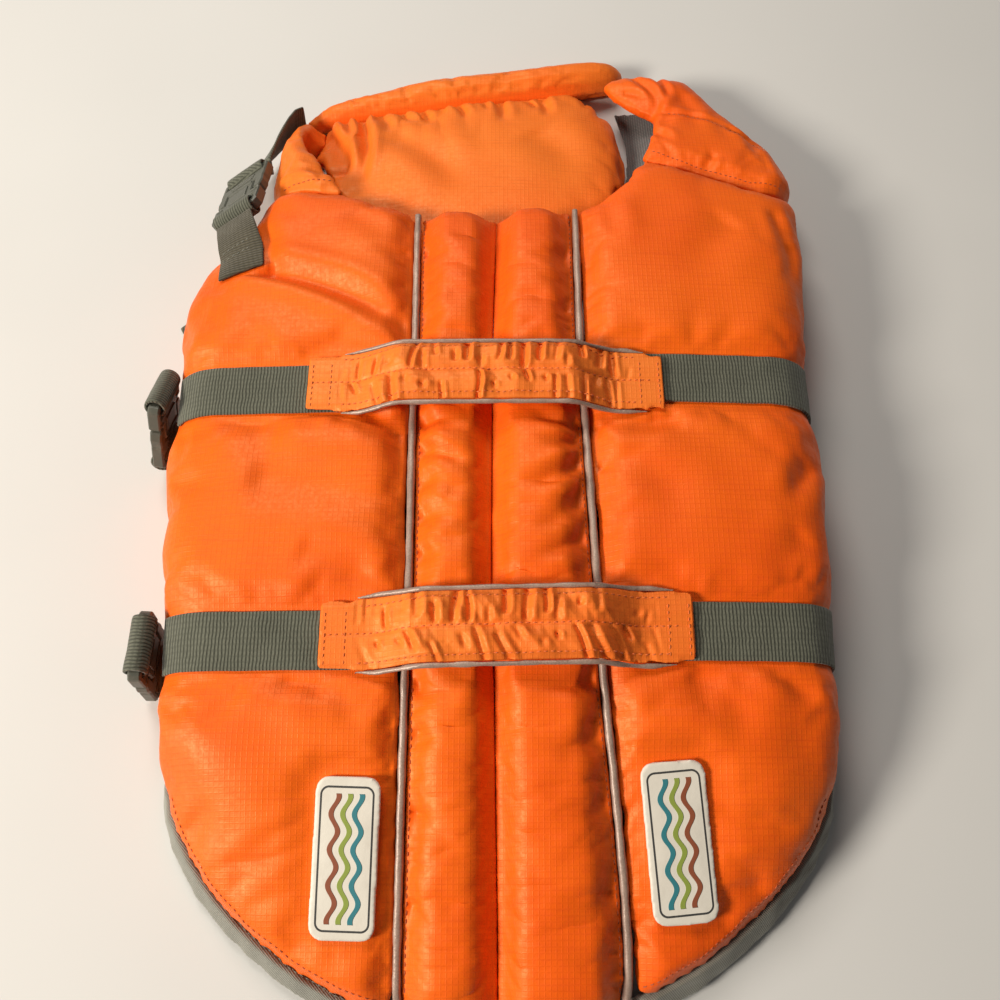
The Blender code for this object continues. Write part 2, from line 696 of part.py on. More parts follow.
def padded_piece(name, runs, thick, frame, net, lines=(), dent=None, floor=None, colour="orange ripstop"):
    """A pillow over the outline: `frame` places it, `net` offers inner points, `dent` presses it in."""
    loop = outline_loop(runs)
    candidates = np.concatenate([inset_points(runs, INSETS), net])
    candidates = candidates[is_inside(candidates, loop)]
    clear = distance_to(candidates, np.vstack([loop, loop[:1]])) > 3.0
    fixed = np.concatenate([loop, *lines])
    inner = thin_out(fixed, candidates[clear], POINT_CLEARANCE)[len(fixed) :]
    points, faces = flat_mesh(loop, lines, inner)
    dip, depth = pad_offsets(points, runs, thick, dent(points) if dent else 0.0)
    skin, normal = frame(points)
    outer = skin - normal * dip[:, None]
    inner = skin - normal * depth[:, None]
    if floor is not None:
        inner[:, 2] = inner[:, 2].clip(floor)
    return solid_from_flat(name, points, faces, len(loop), outer, inner, colour)


# ---------------------------------------------------------------- outlines of the cut pieces
def hem_outer(side):
    """Pattern points along the hem from the spine to the wing's seam, with one at each edge of a belly strap."""
    rim = RIMS[side]
    seam_y = RIGHT_SEAM_Y if side > 0 else LEFT_SEAM_Y
    groove = seam_x(-230.0, 2) + side * SEAM_GAP / 2
    hem = rim.hem[rim.foot[:, 1] <= seam_y + 0.1]
    start = np.argmax(side * (hem[:, 0] - groove) > 0)
    share = (groove - hem[start - 1, 0]) / (hem[start, 0] - hem[start - 1, 0])
    first = hem[start - 1] + (hem[start] - hem[start - 1]) * share
    line = np.array([first, *hem[start:], rim.ray(seam_y, [rim.at(seam_y, 4)])[0]])
    half = WEBBING_WIDE / 2 + 0.5
    marks = []
    for lane in LANES.values():
        if lane.side == side and lane.slant_from < 1e5:
            y = float(lane.centre(np.array(lane.end)))
            marks += [y - half - DENT_SHOULDER, y - half, y, y + half, y + half + DENT_SHOULDER]
    upper = line[line[:, 1] > OPEN_TAIL_Y]
    forced = [(float(np.interp(m, upper[:, 1], upper[:, 0])), m) for m in marks]
    stations = [tuple(p) for p in walk(line, EDGE_STEP)]
    for point in forced:
        ends = (stations[0], stations[-1])
        stations = [s for s in stations if math.dist(s, point) > EDGE_STEP / 2 or s in ends]

    def order(point):
        nearest = np.linalg.norm(line - point, axis=1).argmin()
        return nearest, side * point[0] if point[1] < OPEN_TAIL_Y else point[1]

    return np.array(sorted(stations + forced, key=order))


def hem_lines(side):
    """The hem, the line where its binding meets the padding, and the places of the piping's two seams."""
    outer = hem_outer(side)
    along = np.gradient(outer, axis=0)
    inward = unit(np.stack([-along[:, 1], along[:, 0]], 1) * side)
    seam_y = RIGHT_SEAM_Y if side > 0 else LEFT_SEAM_Y
    ray = RIMS[side].ray(seam_y, [0.0, 1.0])
    inward[0] = (0.0, 1.0)
    inward[-1] = np.subtract(ray[0], ray[1])
    inner = outer + inward * (HEM_TAPE + HEM_GAP)
    places = []
    column = 3 if side > 0 else 1
    for seat in (-PIPING_SEAT, PIPING_SEAT):
        away = side * (inner[:, 0] - seam_x(inner[:, 1], column)) - seat
        i = int(np.argmax(away > 0))
        share = away[i - 1] / (away[i - 1] - away[i])
        new_outer = outer[i - 1] + (outer[i] - outer[i - 1]) * share
        new_inner = inner[i - 1] + (inner[i] - inner[i - 1]) * share
        keep = np.linalg.norm(outer - new_outer, axis=1) > 4.0
        keep[[*places, 0]] = True
        before = keep[:i].sum()
        outer = np.vstack([outer[:i][keep[:i]], new_outer, outer[i:][keep[i:]]])
        inner = np.vstack([inner[:i][keep[:i]], new_inner, inner[i:][keep[i:]]])
        places.append(int(before))
    return outer, inner, places


HEMS = {side: hem_lines(side) for side in (1, -1)}


def lengthwise(column, shift, y_from, y_to):
    ys = np.linspace(y_from, y_to, max(2, round(abs(y_to - y_from) / EDGE_STEP)) + 1)
    return [(float(seam_x(y, column)) + shift, y) for y in ys]


def neck_run(x_from, x_to):
    xs = np.linspace(x_from, x_to, max(2, round(abs(x_to - x_from) / 10.0)) + 1)
    return [(x, float(neck_y(x))) for x in xs]


def spine_channel(side):
    _, hem_inner, places = HEMS[side]
    hem = [tuple(p) for p in hem_inner[: places[0] + 1]]
    column = 3 if side > 0 else 1
    piping_top = float(seam_x(168.0, column)) - side * PIPING_SEAT
    groove_top = float(seam_x(162.0, 2)) + side * SEAM_GAP / 2
    outer = lengthwise(column, -side * PIPING_SEAT, hem[-1][1], float(neck_y(piping_top)))
    outer[0] = hem[-1]
    neck = neck_run(outer[-1][0], groove_top)
    inner = lengthwise(2, side * SEAM_GAP / 2, neck[-1][1], hem[0][1])
    inner[0], inner[-1] = neck[-1], hem[0]
    return [("hem", hem), ("seam", outer), ("turned", neck), ("groove", inner)]


def wing_seam(side, shift, short=0.0):
    """The seam between side panel and wing, from the neckline over the rim and round to the hem."""
    rim = RIMS[side]
    y = RIGHT_SEAM_Y if side > 0 else LEFT_SEAM_Y
    top = RIGHT_WING_SEAM if side > 0 else LEFT_WING_SEAM
    reach = rim.at(y, 4) - short
    beyond = rim.ray(y, np.linspace(0.0, reach, max(2, round(reach / FOLD_STEP))))
    line = walk(top + [beyond[0]], EDGE_STEP).tolist() + [list(p) for p in beyond[1:]]
    return [(x, y + shift) for x, y in line]


def side_panel(side):
    _, hem_inner, places = HEMS[side]
    hem = [tuple(p) for p in hem_inner[places[1] :]]
    column = 3 if side > 0 else 1
    seam = wing_seam(side, -SEAM_GAP, HEM_TAPE + HEM_GAP)
    hem[-1] = seam[-1]
    seam = seam[::-1]
    top_x = float(seam_x(168.0, column)) + side * PIPING_SEAT
    neck = neck_run(seam[-1][0], top_x)
    neck[0] = seam[-1]
    inner = lengthwise(column, side * PIPING_SEAT, neck[-1][1], hem[0][1])
    inner[0], inner[-1] = neck[-1], hem[0]
    return [("hem", hem), ("seam", seam), ("turned", neck), ("seam", inner)]


def wing(side):
    rim = RIMS[side]
    seam = wing_seam(side, SEAM_GAP)
    if side > 0:
        rows = [y for y in (200.0, 212.0, 224.0, 236.0, 248.0, 260.0, 272.0)]
        front_y = 283.0
        neck = walk(RIGHT_WING_NECK, EDGE_STEP).tolist()
        inner = walk(RIGHT_WING_INNER, 10.0).tolist()
    else:
        rows = [198.0, 210.0, 222.0, 234.0, 246.0]
        front_y = LEFT_WING_FRONT_Y
        neck = walk(LEFT_WING_NECK, EDGE_STEP).tolist()
        inner = None
    edge = [seam[-1]] + [rim.ray(y, [rim.at(y, 4)])[0] for y in rows]
    reach = rim.at(front_y, 4)
    edge.append(rim.ray(front_y, [reach])[0])
    start = 0.0 if side > 0 else 24.0
    front = rim.ray(front_y, np.linspace(reach, start, 6))
    neck[-1 if side > 0 else 0] = seam[0]
    if side > 0:
        inner[0] = front[-1]
        neck[0] = inner[-1]
        return [("seam", seam), ("turned", edge), ("turned", front), ("turned", inner), ("turned", neck)]
    neck[-1] = front[-1]
    return [("seam", seam), ("turned", edge), ("turned", front), ("turned", neck[::-1])]


# ---------------------------------------------------------------- trim
def hem_binding(side):
    """Tape folded round the pressed hem, butted against the padding."""
    outer, inner, _ = HEMS[side]
    share = HEM_TAPE / (HEM_TAPE + HEM_GAP)
    outer, leg = outer.copy(), outer + (inner - outer) * share
    outer[-1, 1] -= SEAM_GAP
    leg[-1, 1] -= SEAM_GAP
    tangent = unit(RIMS[side].skin(outer + (leg - outer) * 0.2) - RIMS[side].skin(outer))
    skin, normal = RIMS[side].frame(outer)
    leg_skin, leg_normal = RIMS[side].frame(leg)
    dent = np.maximum(dents(side, outer), dents(side, leg))[:, None]
    skin, leg_skin = skin - normal * dent, leg_skin - leg_normal * dent
    lip = [(0.6, 0.0), (TAPE_LIP, 1.2), (TAPE_LIP, HEM_STACK - 1.2), (0.6, HEM_STACK)]
    ring = [leg_skin]
    ring += [skin - tangent * reach - normal * deep for reach, deep in lip]
    ring.append(leg_skin - leg_normal * HEM_STACK)
    rings = np.stack(ring, 1)
    rings = rings if side > 0 else rings[:, ::-1]
    return loft(f"hem_binding_{'right' if side > 0 else 'left'}", rings, "grey webbing")


def piping(side):
    column = 3 if side > 0 else 1
    _, hem_inner, places = HEMS[side]
    top = float(neck_y(seam_x(168.0, column))) - 1.0
    ys = np.linspace(hem_inner[places[0] : places[1] + 1, 1].max() + 0.6, top, 30)
    line = np.column_stack([seam_x(ys, column), ys])
    half = PIPING_WIDE / 2
    profile = [(-half, 1.9), (-half + 0.9, 1.2), (half - 0.9, 1.2), (half, 1.9), (half, 5.8), (-half, 5.8)]
    rings = []
    for dx, deep in profile:
        skin, normal = RIMS[side].frame(line + (dx, 0))
        rings.append(skin - normal * deep)
    rings = np.stack(rings, 1)
    return loft(f"piping_{'right' if side > 0 else 'left'}", rings, "reflective piping")


def lane_webbing(name, lane):
    half = WEBBING_WIDE / 2
    past = lane.stations(lane.start + 1.0, lane.end - (1.0 if lane.side > 0 else 0.0))
    outer, inner = [], []
    for distance in past:
        line = lane.pattern(np.full(3, distance), np.array([-half, 0.0, half]))
        skin, normal = RIMS[lane.side].frame(line)
        outer.append(skin)
        inner.append(skin - normal * WEBBING_THICK)
    outer, inner = np.array(outer), np.array(inner)
    if lane.side > 0:
        outer, inner = outer[:, ::-1], inner[:, ::-1]
    return grid_solid(name, outer, inner, "grey webbing")


def build_shell():
    for side, word in ((1, "right"), (-1, "left")):
        frame = RIMS[side].frame
        panel = side_panel(side)
        loop = outline_loop(panel)
        net = np.concatenate([lane_shoulders(side), lattice(loop, side)])
        dent = lambda points, side=side: dents(side, points)
        padded_piece(f"side_panel_{word}", panel, BODY_PAD, frame, net, lane_lines(side, loop), dent)
        channel = spine_channel(side)
        padded_piece(f"spine_channel_{word}", channel, BODY_PAD, frame, lattice(outline_loop(channel), side))
        shoulder = wing(side)
        padded_piece(f"shoulder_wing_{word}", shoulder, WING_PAD, frame, lattice(outline_loop(shoulder), side))
        hem_binding(side)
        piping(side)
    for row in BACK_WEBBING:
        lane_webbing(row[0], LANES[row[0]])


# ---------------------------------------------------------------- the chin float, its band and the neck lining
FLOAT_CURVE = smooth_rows(FLOAT_TOP, 8)
BAND_CURVE = smooth_rows(BAND, 4)


def float_skin(points):
    points = np.asarray(points, float)
    top = np.interp(points[:, 1], FLOAT_CURVE[:, 0], FLOAT_CURVE[:, 1])
    fall = FLOAT_FALL * ((points[:, 0] - FLOAT_MIDDLE) / FLOAT_HALF) ** 2
    return np.column_stack([points, top - fall])


def band_back(x):
    """y of the band's rear side, where the float's gathered seam meets it."""
    return np.interp(x, BAND_CURVE[:, 0], BAND_CURVE[:, 1] - BAND_CURVE[:, 2])


def chin_float():
    xs = np.linspace(FLOAT_SEAM_END, FLOAT_EDGE[0][0], 17)
    seam = np.column_stack([xs, band_back(xs) - REST])
    edge = walk(smooth_rows([tuple(seam[-1]), *FLOAT_EDGE, tuple(seam[0])], 4), EDGE_STEP * 0.8)
    runs = [("gathered", seam), ("free", edge)]
    low, high = edge.min(0), edge.max(0)
    step = TOP_STEP * 0.8
    columns, rows = np.arange(low[0], high[0], step), np.arange(low[1], high[1], step)
    net = np.array([(x, y) for x in columns for y in rows])
    frame = lambda points: frame_of(float_skin, points)
    return padded_piece("chin_float", runs, FLOAT_PAD, frame, net, floor=0.0)


def float_band():
    angles = 2 * np.pi * (np.arange(BAND_RING) + 0.5) / BAND_RING
    along = np.gradient(BAND_CURVE[:, :2], axis=0)
    right = unit(np.stack([along[:, 1], -along[:, 0]], 1))
    rings = []
    for (x, y, half, tall), aside in zip(BAND_CURVE, right):
        across, up = half * np.sin(angles), tall * (1 + np.cos(angles) / math.cos(math.pi / BAND_RING))
        rings.append(np.column_stack([x + aside[0] * across, y + aside[1] * across, up.clip(0)]))
    return loft("float_band", rings, "orange ripstop")


def neck_lining():
    left, right = smooth_rows(LINING_LEFT, 3), smooth_rows(LINING_RIGHT, 3)
    shares = np.linspace(0, 1, 4)[None, :, None]
    outer = left[:, None] * (1 - shares) + right[:, None] * shares
    return grid_solid("neck_lining", outer, outer - (0, 0, LINING_THICK), "grey lining")


def build_chin():
    chin_float()
    float_band()
    neck_lining()


# ---------------------------------------------------------------- grab handles
def handle_path(row):
    """x, y and share of the rise along a handle."""
    _, start, end, y_start, y_end, _ = row
    xs = np.linspace(start, end, HANDLE_STATIONS)
    ys = np.interp(xs, (start, end), (y_start, y_end))
    rise = ease((xs - start - HANDLE_SEWN) / HANDLE_RISE) * ease((end - HANDLE_SEWN - xs) / HANDLE_RISE)
    return xs, ys, rise


def handle_under(xs, ys, rise):
    return top_height(np.column_stack([xs, ys])) + REST + HANDLE_LIFT * rise


def grab_handle(row):
    xs, ys, rise = handle_path(row)
    half = HANDLE_HALF[0] + (HANDLE_HALF[1] - HANDLE_HALF[0]) * rise
    thick = HANDLE_THICK[0] + (HANDLE_THICK[1] - HANDLE_THICK[0]) * rise
    top = [(1.0, 0.35), (0.8, 0.86), (0.4, 1.0), (0.0, 0.82), (-0.4, 1.0), (-0.8, 0.86), (-1.0, 0.35)]
    bottom = [(-0.72, 0.0), (-0.25, 0.0), (0.25, 0.0), (0.72, 0.0)]
    rings = []
    for across, up in top + bottom:
        ruffle = 0.0
        if up > 0.5:
            slanted = xs + row[5] * across * half * 4 + 3.7 * np.sign(across)
            ruffle = GATHER * rise * sum(np.sin(2 * np.pi * slanted / wave) for wave in GATHER_WAVES)
        under = handle_under(xs, ys + across * half, rise)
        rings.append(np.column_stack([xs, ys + across * half, under + thick * up + ruffle]))
    return loft(row[0], np.stack(rings, 1), "orange ripstop")


def handle_piping(row, side):
    xs, ys, rise = handle_path(row)
    keep = (xs > row[1] + 14.0) & (xs < row[2] - 7.0)
    half = HANDLE_HALF[0] + (HANDLE_HALF[1] - HANDLE_HALF[0]) * rise
    aside = side * (half + SEAM_GAP + HANDLE_PIPING)
    middle = handle_under(xs, ys + aside, rise) + np.maximum(HANDLE_PIPING, 0.36 * HANDLE_THICK[1] * rise)
    angles = 2 * np.pi * np.arange(6) / 6
    rings = [
        np.column_stack([xs, ys + aside - HANDLE_PIPING * np.sin(a), middle + HANDLE_PIPING * np.cos(a)])
        for a in angles
    ]
    word = "front" if side > 0 else "rear"
    return loft(f"{row[0]}_piping_{word}", np.stack(rings, 1)[keep], "reflective piping")


# ---------------------------------------------------------------- straps
def band_ring(centre, across, normal, width):
    """A strap's section, seen clockwise when looking forward; `across` points to the right, `normal` up."""
    centre, across, normal = np.array(centre, float), np.array(across, float), np.array(normal, float)
    a, n = across * width / 2, normal * WEBBING_THICK / 2
    return [centre - a + n, centre + a + n, centre + a - n, centre - a - n]


def hook_rings(bar, outward, up, across, angles):
    """Rings round a buckle's bar, the strap passing beneath it first."""
    rings = []
    for angle in np.radians(angles):
        away = np.array(outward) * math.cos(angle) + np.array(up) * math.sin(angle)
        middle = np.array(bar) + away * (LOOP_INNER + LOOP_OUTER) / 2
        rings.append(band_ring(middle, across, -away, WEBBING_WIDE))
    return rings


def twist_rings(first, last):
    """Rings between two others, close enough that a twisting strap keeps its walls apart."""
    shares = np.linspace(0.0, 1.0, TWIST_STEPS + 1)[1:-1]
    return [list(np.array(first) * (1 - share) + np.array(last) * share) for share in shares]


def buckle_frame(name):
    """First bar, second bar, unit vectors along, across and outward."""
    _, bar, along, across, scale = next(row for row in BUCKLES if row[0] == name)
    along, bar = unit(along), np.array(bar)
    across = np.array(across) - along * np.dot(across, along)
    across = unit(across)
    return bar, bar + along * BUCKLE_LONG * scale, along, across, np.cross(across, along)


def belly_strap(name):
    lane = LANES[f"webbing_{name}_right"]
    start = RIMS[1].skin(lane.pattern(np.array([lane.end]), 0.0))[0]
    _, bar, along, across, _ = buckle_frame(name)
    up = -along
    outward = np.cross(across, up)
    rings = []
    for x in np.linspace(start[0] - 4 * REST, BELLY_FLOOR_END, 8):
        y = start[1] + BELLY_FALL * (x - start[0])
        rings.append(band_ring((x, y, WEBBING_THICK / 2), (0, 1, 0), (0, 0, 1), WEBBING_WIDE))
    hook = hook_rings(bar, outward, up, across, HOOK_ANGLES)
    rings += twist_rings(rings[-1], hook[0])
    return loft(f"belly_strap_{name}", rings + hook, "grey webbing")


def neck_strap():
    _, bar, along, across, up = buckle_frame("neck")
    rings = []
    last = bar + along * 9.0 - up * (LOOP_INNER + LOOP_OUTER) / 2
    middles = np.array([row[0] for row in NECK_STRAP] + [last])
    travel = unit(np.gradient(middles, axis=0))
    for middle, forward, row in zip(middles, travel, [*NECK_STRAP, (None, -across, WEBBING_WIDE)]):
        aside = unit(np.array(row[1]) - forward * np.dot(row[1], forward))
        rings.append(band_ring(middle, aside, np.cross(aside, forward), row[2]))
    rings += hook_rings(bar, along, up, -across, HOOK_ANGLES)
    return loft("neck_strap", rings, "grey webbing")


def webbing_loop(name):
    """The short loop that holds a buckle's first bar."""
    bar, _, along, across, up = buckle_frame(name)
    rings = hook_rings(bar, along, up, across, 360.0 * np.arange(LOOP_STEPS) / LOOP_STEPS)
    return loft(f"loop_{name}", rings, "grey webbing", closed=True)


def neck_tab():
    """Sewn down on the shoulder, then free to its loop."""
    bar, _, along, across, up = buckle_frame("neck")
    start, ahead, aside = np.array(TAB_START), np.array(TAB_ALONG), np.array(TAB_ACROSS)
    sides = np.array([-1.0, -0.4, 0.4, 1.0]) * TAB_HALF
    outer, inner = [], []
    for run in np.linspace(0.0, TAB_SEWN, 4):
        skin, normal = RIMS[-1].frame(start + ahead * run + aside * sides[:, None])
        inner.append(skin + normal * REST)
        outer.append(skin + normal * (REST + WEBBING_THICK))
    end = bar - along * (LOOP_OUTER + 0.6) + across * sides[:, None]
    last, lift = inner[-1], outer[-1] - inner[-1]
    for share in (0.25, 0.5, 0.75, 1.0):
        row = last * (1 - share) + end * share + np.array([0, 0, TAB_ARCH]) * math.sin(math.pi * share)
        up_there = unit(lift * (1 - share) + up * share) * WEBBING_THICK
        inner.append(row)
        outer.append(row + up_there)
    return grid_solid("neck_tab", np.array(outer), np.array(inner), "grey webbing")


def flat_plate(name, outline, thick, colour, place, hole=None):
    """A plate cut to an outline, with one hole at most, put in place by a function of (across, along, up)."""
    loops = [np.array(outline, float)] + ([np.array(hole, float)] if hole else [])
    flat = np.concatenate(loops)
    border, first = [], 0
    for loop in loops:
        count = len(loop)
        border += [(first + i, first + (i + 1) % count) for i in range(count)]
        first += count
    made = delaunay_2d_cdt([Vector(p) for p in flat], border, [], 1, 1e-5)
    faces = [tuple(f) for f in made[2]]
    if hole:
        middles = np.array([flat[list(f)].mean(0) for f in faces])
        faces = [f for f, out in zip(faces, ~is_inside(middles, loops[1])) if out]
    base = len(flat)
    sides = faces + [tuple(base + i for i in reversed(f)) for f in faces]
    sides += [(b, a, base + a, base + b) for a, b in border]
    top = [place(x, y, thick / 2) for x, y in flat]
    bottom = [place(x, y, -thick / 2) for x, y in flat]
    return add_object(name, top + bottom, sides, colour)


def loose_end():
    place = lambda x, y, up: (x, y, up + WEBBING_THICK / 2)
    flat_plate("strap_end", LOOSE_END, WEBBING_THICK, "grey webbing", place)


def build_straps():
    for row in HANDLES:
        grab_handle(row)
        handle_piping(row, 1)
        handle_piping(row, -1)
    for name in ("upper", "lower"):
        belly_strap(name)
    for row in BUCKLES:
        webbing_loop(row[0])
    neck_strap()
    neck_tab()
    loose_end()


# ---------------------------------------------------------------- buckles and labels
def rectangle(slot):
    half, low, high = slot
    return [(-half, low), (-half, high), (half, high), (half, low)]


def rounded(made):
    bevel = made.modifiers.new("rounded edges", "BEVEL")
    bevel.width = BUCKLE_ROUND * MM
    bevel.segments = 1
    bevel.limit_method = "ANGLE"
    bevel.angle_limit = math.radians(40.0)


def buckle(name):
    bar, _, along, across, up = buckle_frame(name)
    scale = next(row for row in BUCKLES if row[0] == name)[4]
    place = lambda x, y, z: tuple(bar + across * x + along * y * scale + up * z)
    mirror = lambda half: [(-x, y) for x, y in reversed(half)]
    socket = SOCKET_HALF + mirror(SOCKET_HALF)
    prong = PRONG_HALF + PRONG_END + mirror(PRONG_END) + mirror(PRONG_HALF)
    for part, outline, slot in (("socket", socket, SOCKET_SLOT), ("prong", prong, PRONG_SLOT)):
        full_name = f"buckle_{name}_{part}"
        rounded(flat_plate(full_name, outline, BUCKLE_THICK, "grey buckle plastic", place, rectangle(slot)))


def build_buckles():
    for row in BUCKLES:
        buckle(row[0])


def rounded_outline(wide, tall, corner, steps):
    points = []
    for cx, cy, start in ((1, -1, -90), (1, 1, 0), (-1, 1, 90), (-1, -1, 180)):
        for angle in np.radians(start + 90.0 * np.arange(steps + 1) / steps):
            x = cx * (wide / 2 - corner) + corner * math.cos(angle)
            points.append((x, cy * (tall / 2 - corner) + corner * math.sin(angle)))
    return np.array(points)


def label(row):
    """A soft plate bent to the panel."""
    name, side, middle, tilt = row
    outline = rounded_outline(LABEL_WIDE, LABEL_LONG, LABEL_CORNER, 4)
    net = [(x, y) for x in (-7.0, 0.0, 7.0) for y in np.linspace(-LABEL_LONG / 2 + 7, LABEL_LONG / 2 - 7, 6)]
    flat, faces = flat_mesh(outline, [], np.array(net))
    turn = np.array([[math.cos(tilt), -math.sin(tilt)], [math.sin(tilt), math.cos(tilt)]])
    skin, normal = RIMS[side].frame(flat @ turn + middle)
    outer = skin + normal * (LABEL_REST + LABEL_THICK)
    return solid_from_flat(name, flat, faces, len(outline), outer, skin + normal * LABEL_REST, "off-white rubber")


def build_labels():
    for row in LABELS:
        label(row)


def clear_scene():
    for found in list(bpy.data.objects):
        bpy.data.objects.remove(found, do_unlink=True)


def main():
    clear_scene()
    build_shell()
    build_chin()
    build_straps()
    build_buckles()
    build_labels()


main()
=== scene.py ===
# %% [markdown]
# # A padded life jacket for a dog
#
# The jacket lies closed on its belly. Two foam panels turn round the flanks, two narrow channels
# run along the spine, and a padded float closes the neck. Grab handles, webbing and side-release
# buckles hold it together. The solid parts come in as a fixed frame. It could all be modelled
# again here, but then the two would drift apart, so each cut piece starts from its solid and
# becomes cloth, tape, plastic or rubber.

import json
import math

import bmesh
import bpy
import numpy as np
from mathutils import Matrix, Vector
from mathutils.bvhtree import BVHTree

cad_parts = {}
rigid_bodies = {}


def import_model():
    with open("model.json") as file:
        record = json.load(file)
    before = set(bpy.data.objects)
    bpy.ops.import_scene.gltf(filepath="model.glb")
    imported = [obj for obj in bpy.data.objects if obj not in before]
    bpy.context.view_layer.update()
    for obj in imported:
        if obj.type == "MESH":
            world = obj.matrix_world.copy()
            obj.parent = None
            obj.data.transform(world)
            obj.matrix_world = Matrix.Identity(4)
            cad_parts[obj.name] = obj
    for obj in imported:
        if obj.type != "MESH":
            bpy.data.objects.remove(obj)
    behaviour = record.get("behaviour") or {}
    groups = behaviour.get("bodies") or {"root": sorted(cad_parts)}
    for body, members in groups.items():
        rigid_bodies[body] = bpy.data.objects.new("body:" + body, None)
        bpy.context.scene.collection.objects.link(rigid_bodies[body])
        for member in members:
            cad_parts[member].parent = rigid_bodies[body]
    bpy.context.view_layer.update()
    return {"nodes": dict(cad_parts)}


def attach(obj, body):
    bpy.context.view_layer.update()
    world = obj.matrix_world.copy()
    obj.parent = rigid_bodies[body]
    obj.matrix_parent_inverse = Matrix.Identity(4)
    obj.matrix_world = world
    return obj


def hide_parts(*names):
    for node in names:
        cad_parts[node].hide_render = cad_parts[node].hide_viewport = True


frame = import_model()
MM = 0.001

# %% [markdown]
# ## Camera and light
#
# The jacket is seen from above with a slight lean toward the tail, as it lies on a table. A long
# lens from far away would flatten it. This one is short and close, so the tail comes toward the
# eye and the neck falls away.


# %% Place the camera
def add_camera(place, lean, lens):
    camera = bpy.data.cameras.new("camera")
    camera.lens = lens
    camera.clip_start = 0.01
    holder = bpy.data.objects.new("camera", camera)
    holder.location = [c * MM for c in place]
    holder.rotation_euler = (math.radians(lean), 0.0, 0.0)
    bpy.context.scene.collection.objects.link(holder)
    bpy.context.scene.camera = holder


add_camera(place=(7.5, -200.5, 429.9), lean=22.5, lens=32.4)
print("camera at", [round(c, 3) for c in bpy.context.scene.camera.location], "m")

# %% [markdown]
# One soft disk of light from the left models the padding, and a weaker one over the neck keeps
# the float clear of the shadows. A bright surrounding would do the same with less work, but it
# would flatten every fold, so the world only fills in a little.


# %% Hang the lights
def add_light(name, place, aim, size, power, colour):
    """Place, aim and size are in metres, and power is in watts."""
    lamp = bpy.data.lights.new(name, "AREA")
    lamp.shape = "DISK"
    lamp.size = size
    lamp.energy = power
    lamp.color = colour
    holder = bpy.data.objects.new(name, lamp)
    holder.location = place
    holder.rotation_euler = (Vector(aim) - Vector(place)).to_track_quat("-Z", "Y").to_euler()
    bpy.context.scene.collection.objects.link(holder)


def fill_the_studio(colour, strength):
    world = bpy.data.worlds.new("studio")
    bpy.context.scene.world = world
    world.use_nodes = True
    background = world.node_tree.nodes["Background"]
    background.inputs["Color"].default_value = colour
    background.inputs["Strength"].default_value = strength


WARM, PALE_WARM = (1.0, 0.92, 0.8), (1.0, 0.93, 0.84)
add_light("key", (-1.2, -0.6, 0.88), aim=(0.0, 0.0, 0.03), size=0.42, power=28.5, colour=WARM)
add_light("neck", (-0.35, 0.8, 1.1), aim=(0.0, 0.15, 0.03), size=0.6, power=10.0, colour=PALE_WARM)
fill_the_studio((1.0, 0.96, 0.92, 1.0), strength=0.1)
bpy.context.scene.view_settings.view_transform = "Standard"
print(len(bpy.data.lights), "lights hung")

# %% [markdown]
# ## Writing a finish as a sum
#
# A finish is a small network of nodes. It could be drawn in the shader editor, or written node by
# node, which is long and hard to read. So a small class wraps one socket and lets Python's own
# operators add the Math nodes: `1 - mask` then means just what it says.


# %% Wrap a socket
class Link:
    """One output socket, on which sums can be written."""

    def __init__(self, finish, socket):
        self.finish = finish
        self.socket = socket

    def math(self, operation, *others, clamp=False):
        settings = {"operation": operation, "use_clamp": clamp}
        return self.finish.node("ShaderNodeMath", settings, dict(enumerate((self, *others))))

    def __add__(self, other):
        return self.math("ADD", other)

    def __sub__(self, other):
        return self.math("SUBTRACT", other)

    def __mul__(self, other):
        return self.math("MULTIPLY", other)

    def __truediv__(self, other):
        return self.math("DIVIDE", other)

    def __abs__(self):
        return self.math("ABSOLUTE")

    def __rsub__(self, other):
        return self.finish.node("ShaderNodeMath", {"operation": "SUBTRACT"}, {0: other, 1: self})

    __radd__ = __add__
    __rmul__ = __mul__

    def step(self, low, high):
        """0 below low and 1 above high, with a soft change between."""
        settings = {"interpolation_type": "SMOOTHSTEP"}
        sockets = {"Value": self, "From Min": low, "From Max": high}
        return self.finish.node("ShaderNodeMapRange", settings, sockets)

    def row(self, pitch):
        """Distance from the nearest of many parallel lines, from 0 to half of their pitch."""
        return (self / pitch).math("PINGPONG", 0.5)


print("a socket can now be written in a sum")

# %% [markdown]
# Not every node is a sum. Noise, coordinates and colour mixes all come from one method, which
# takes the kind of node, its settings and its sockets. Colours go through a Mix node, since a
# Math node would turn them grey.


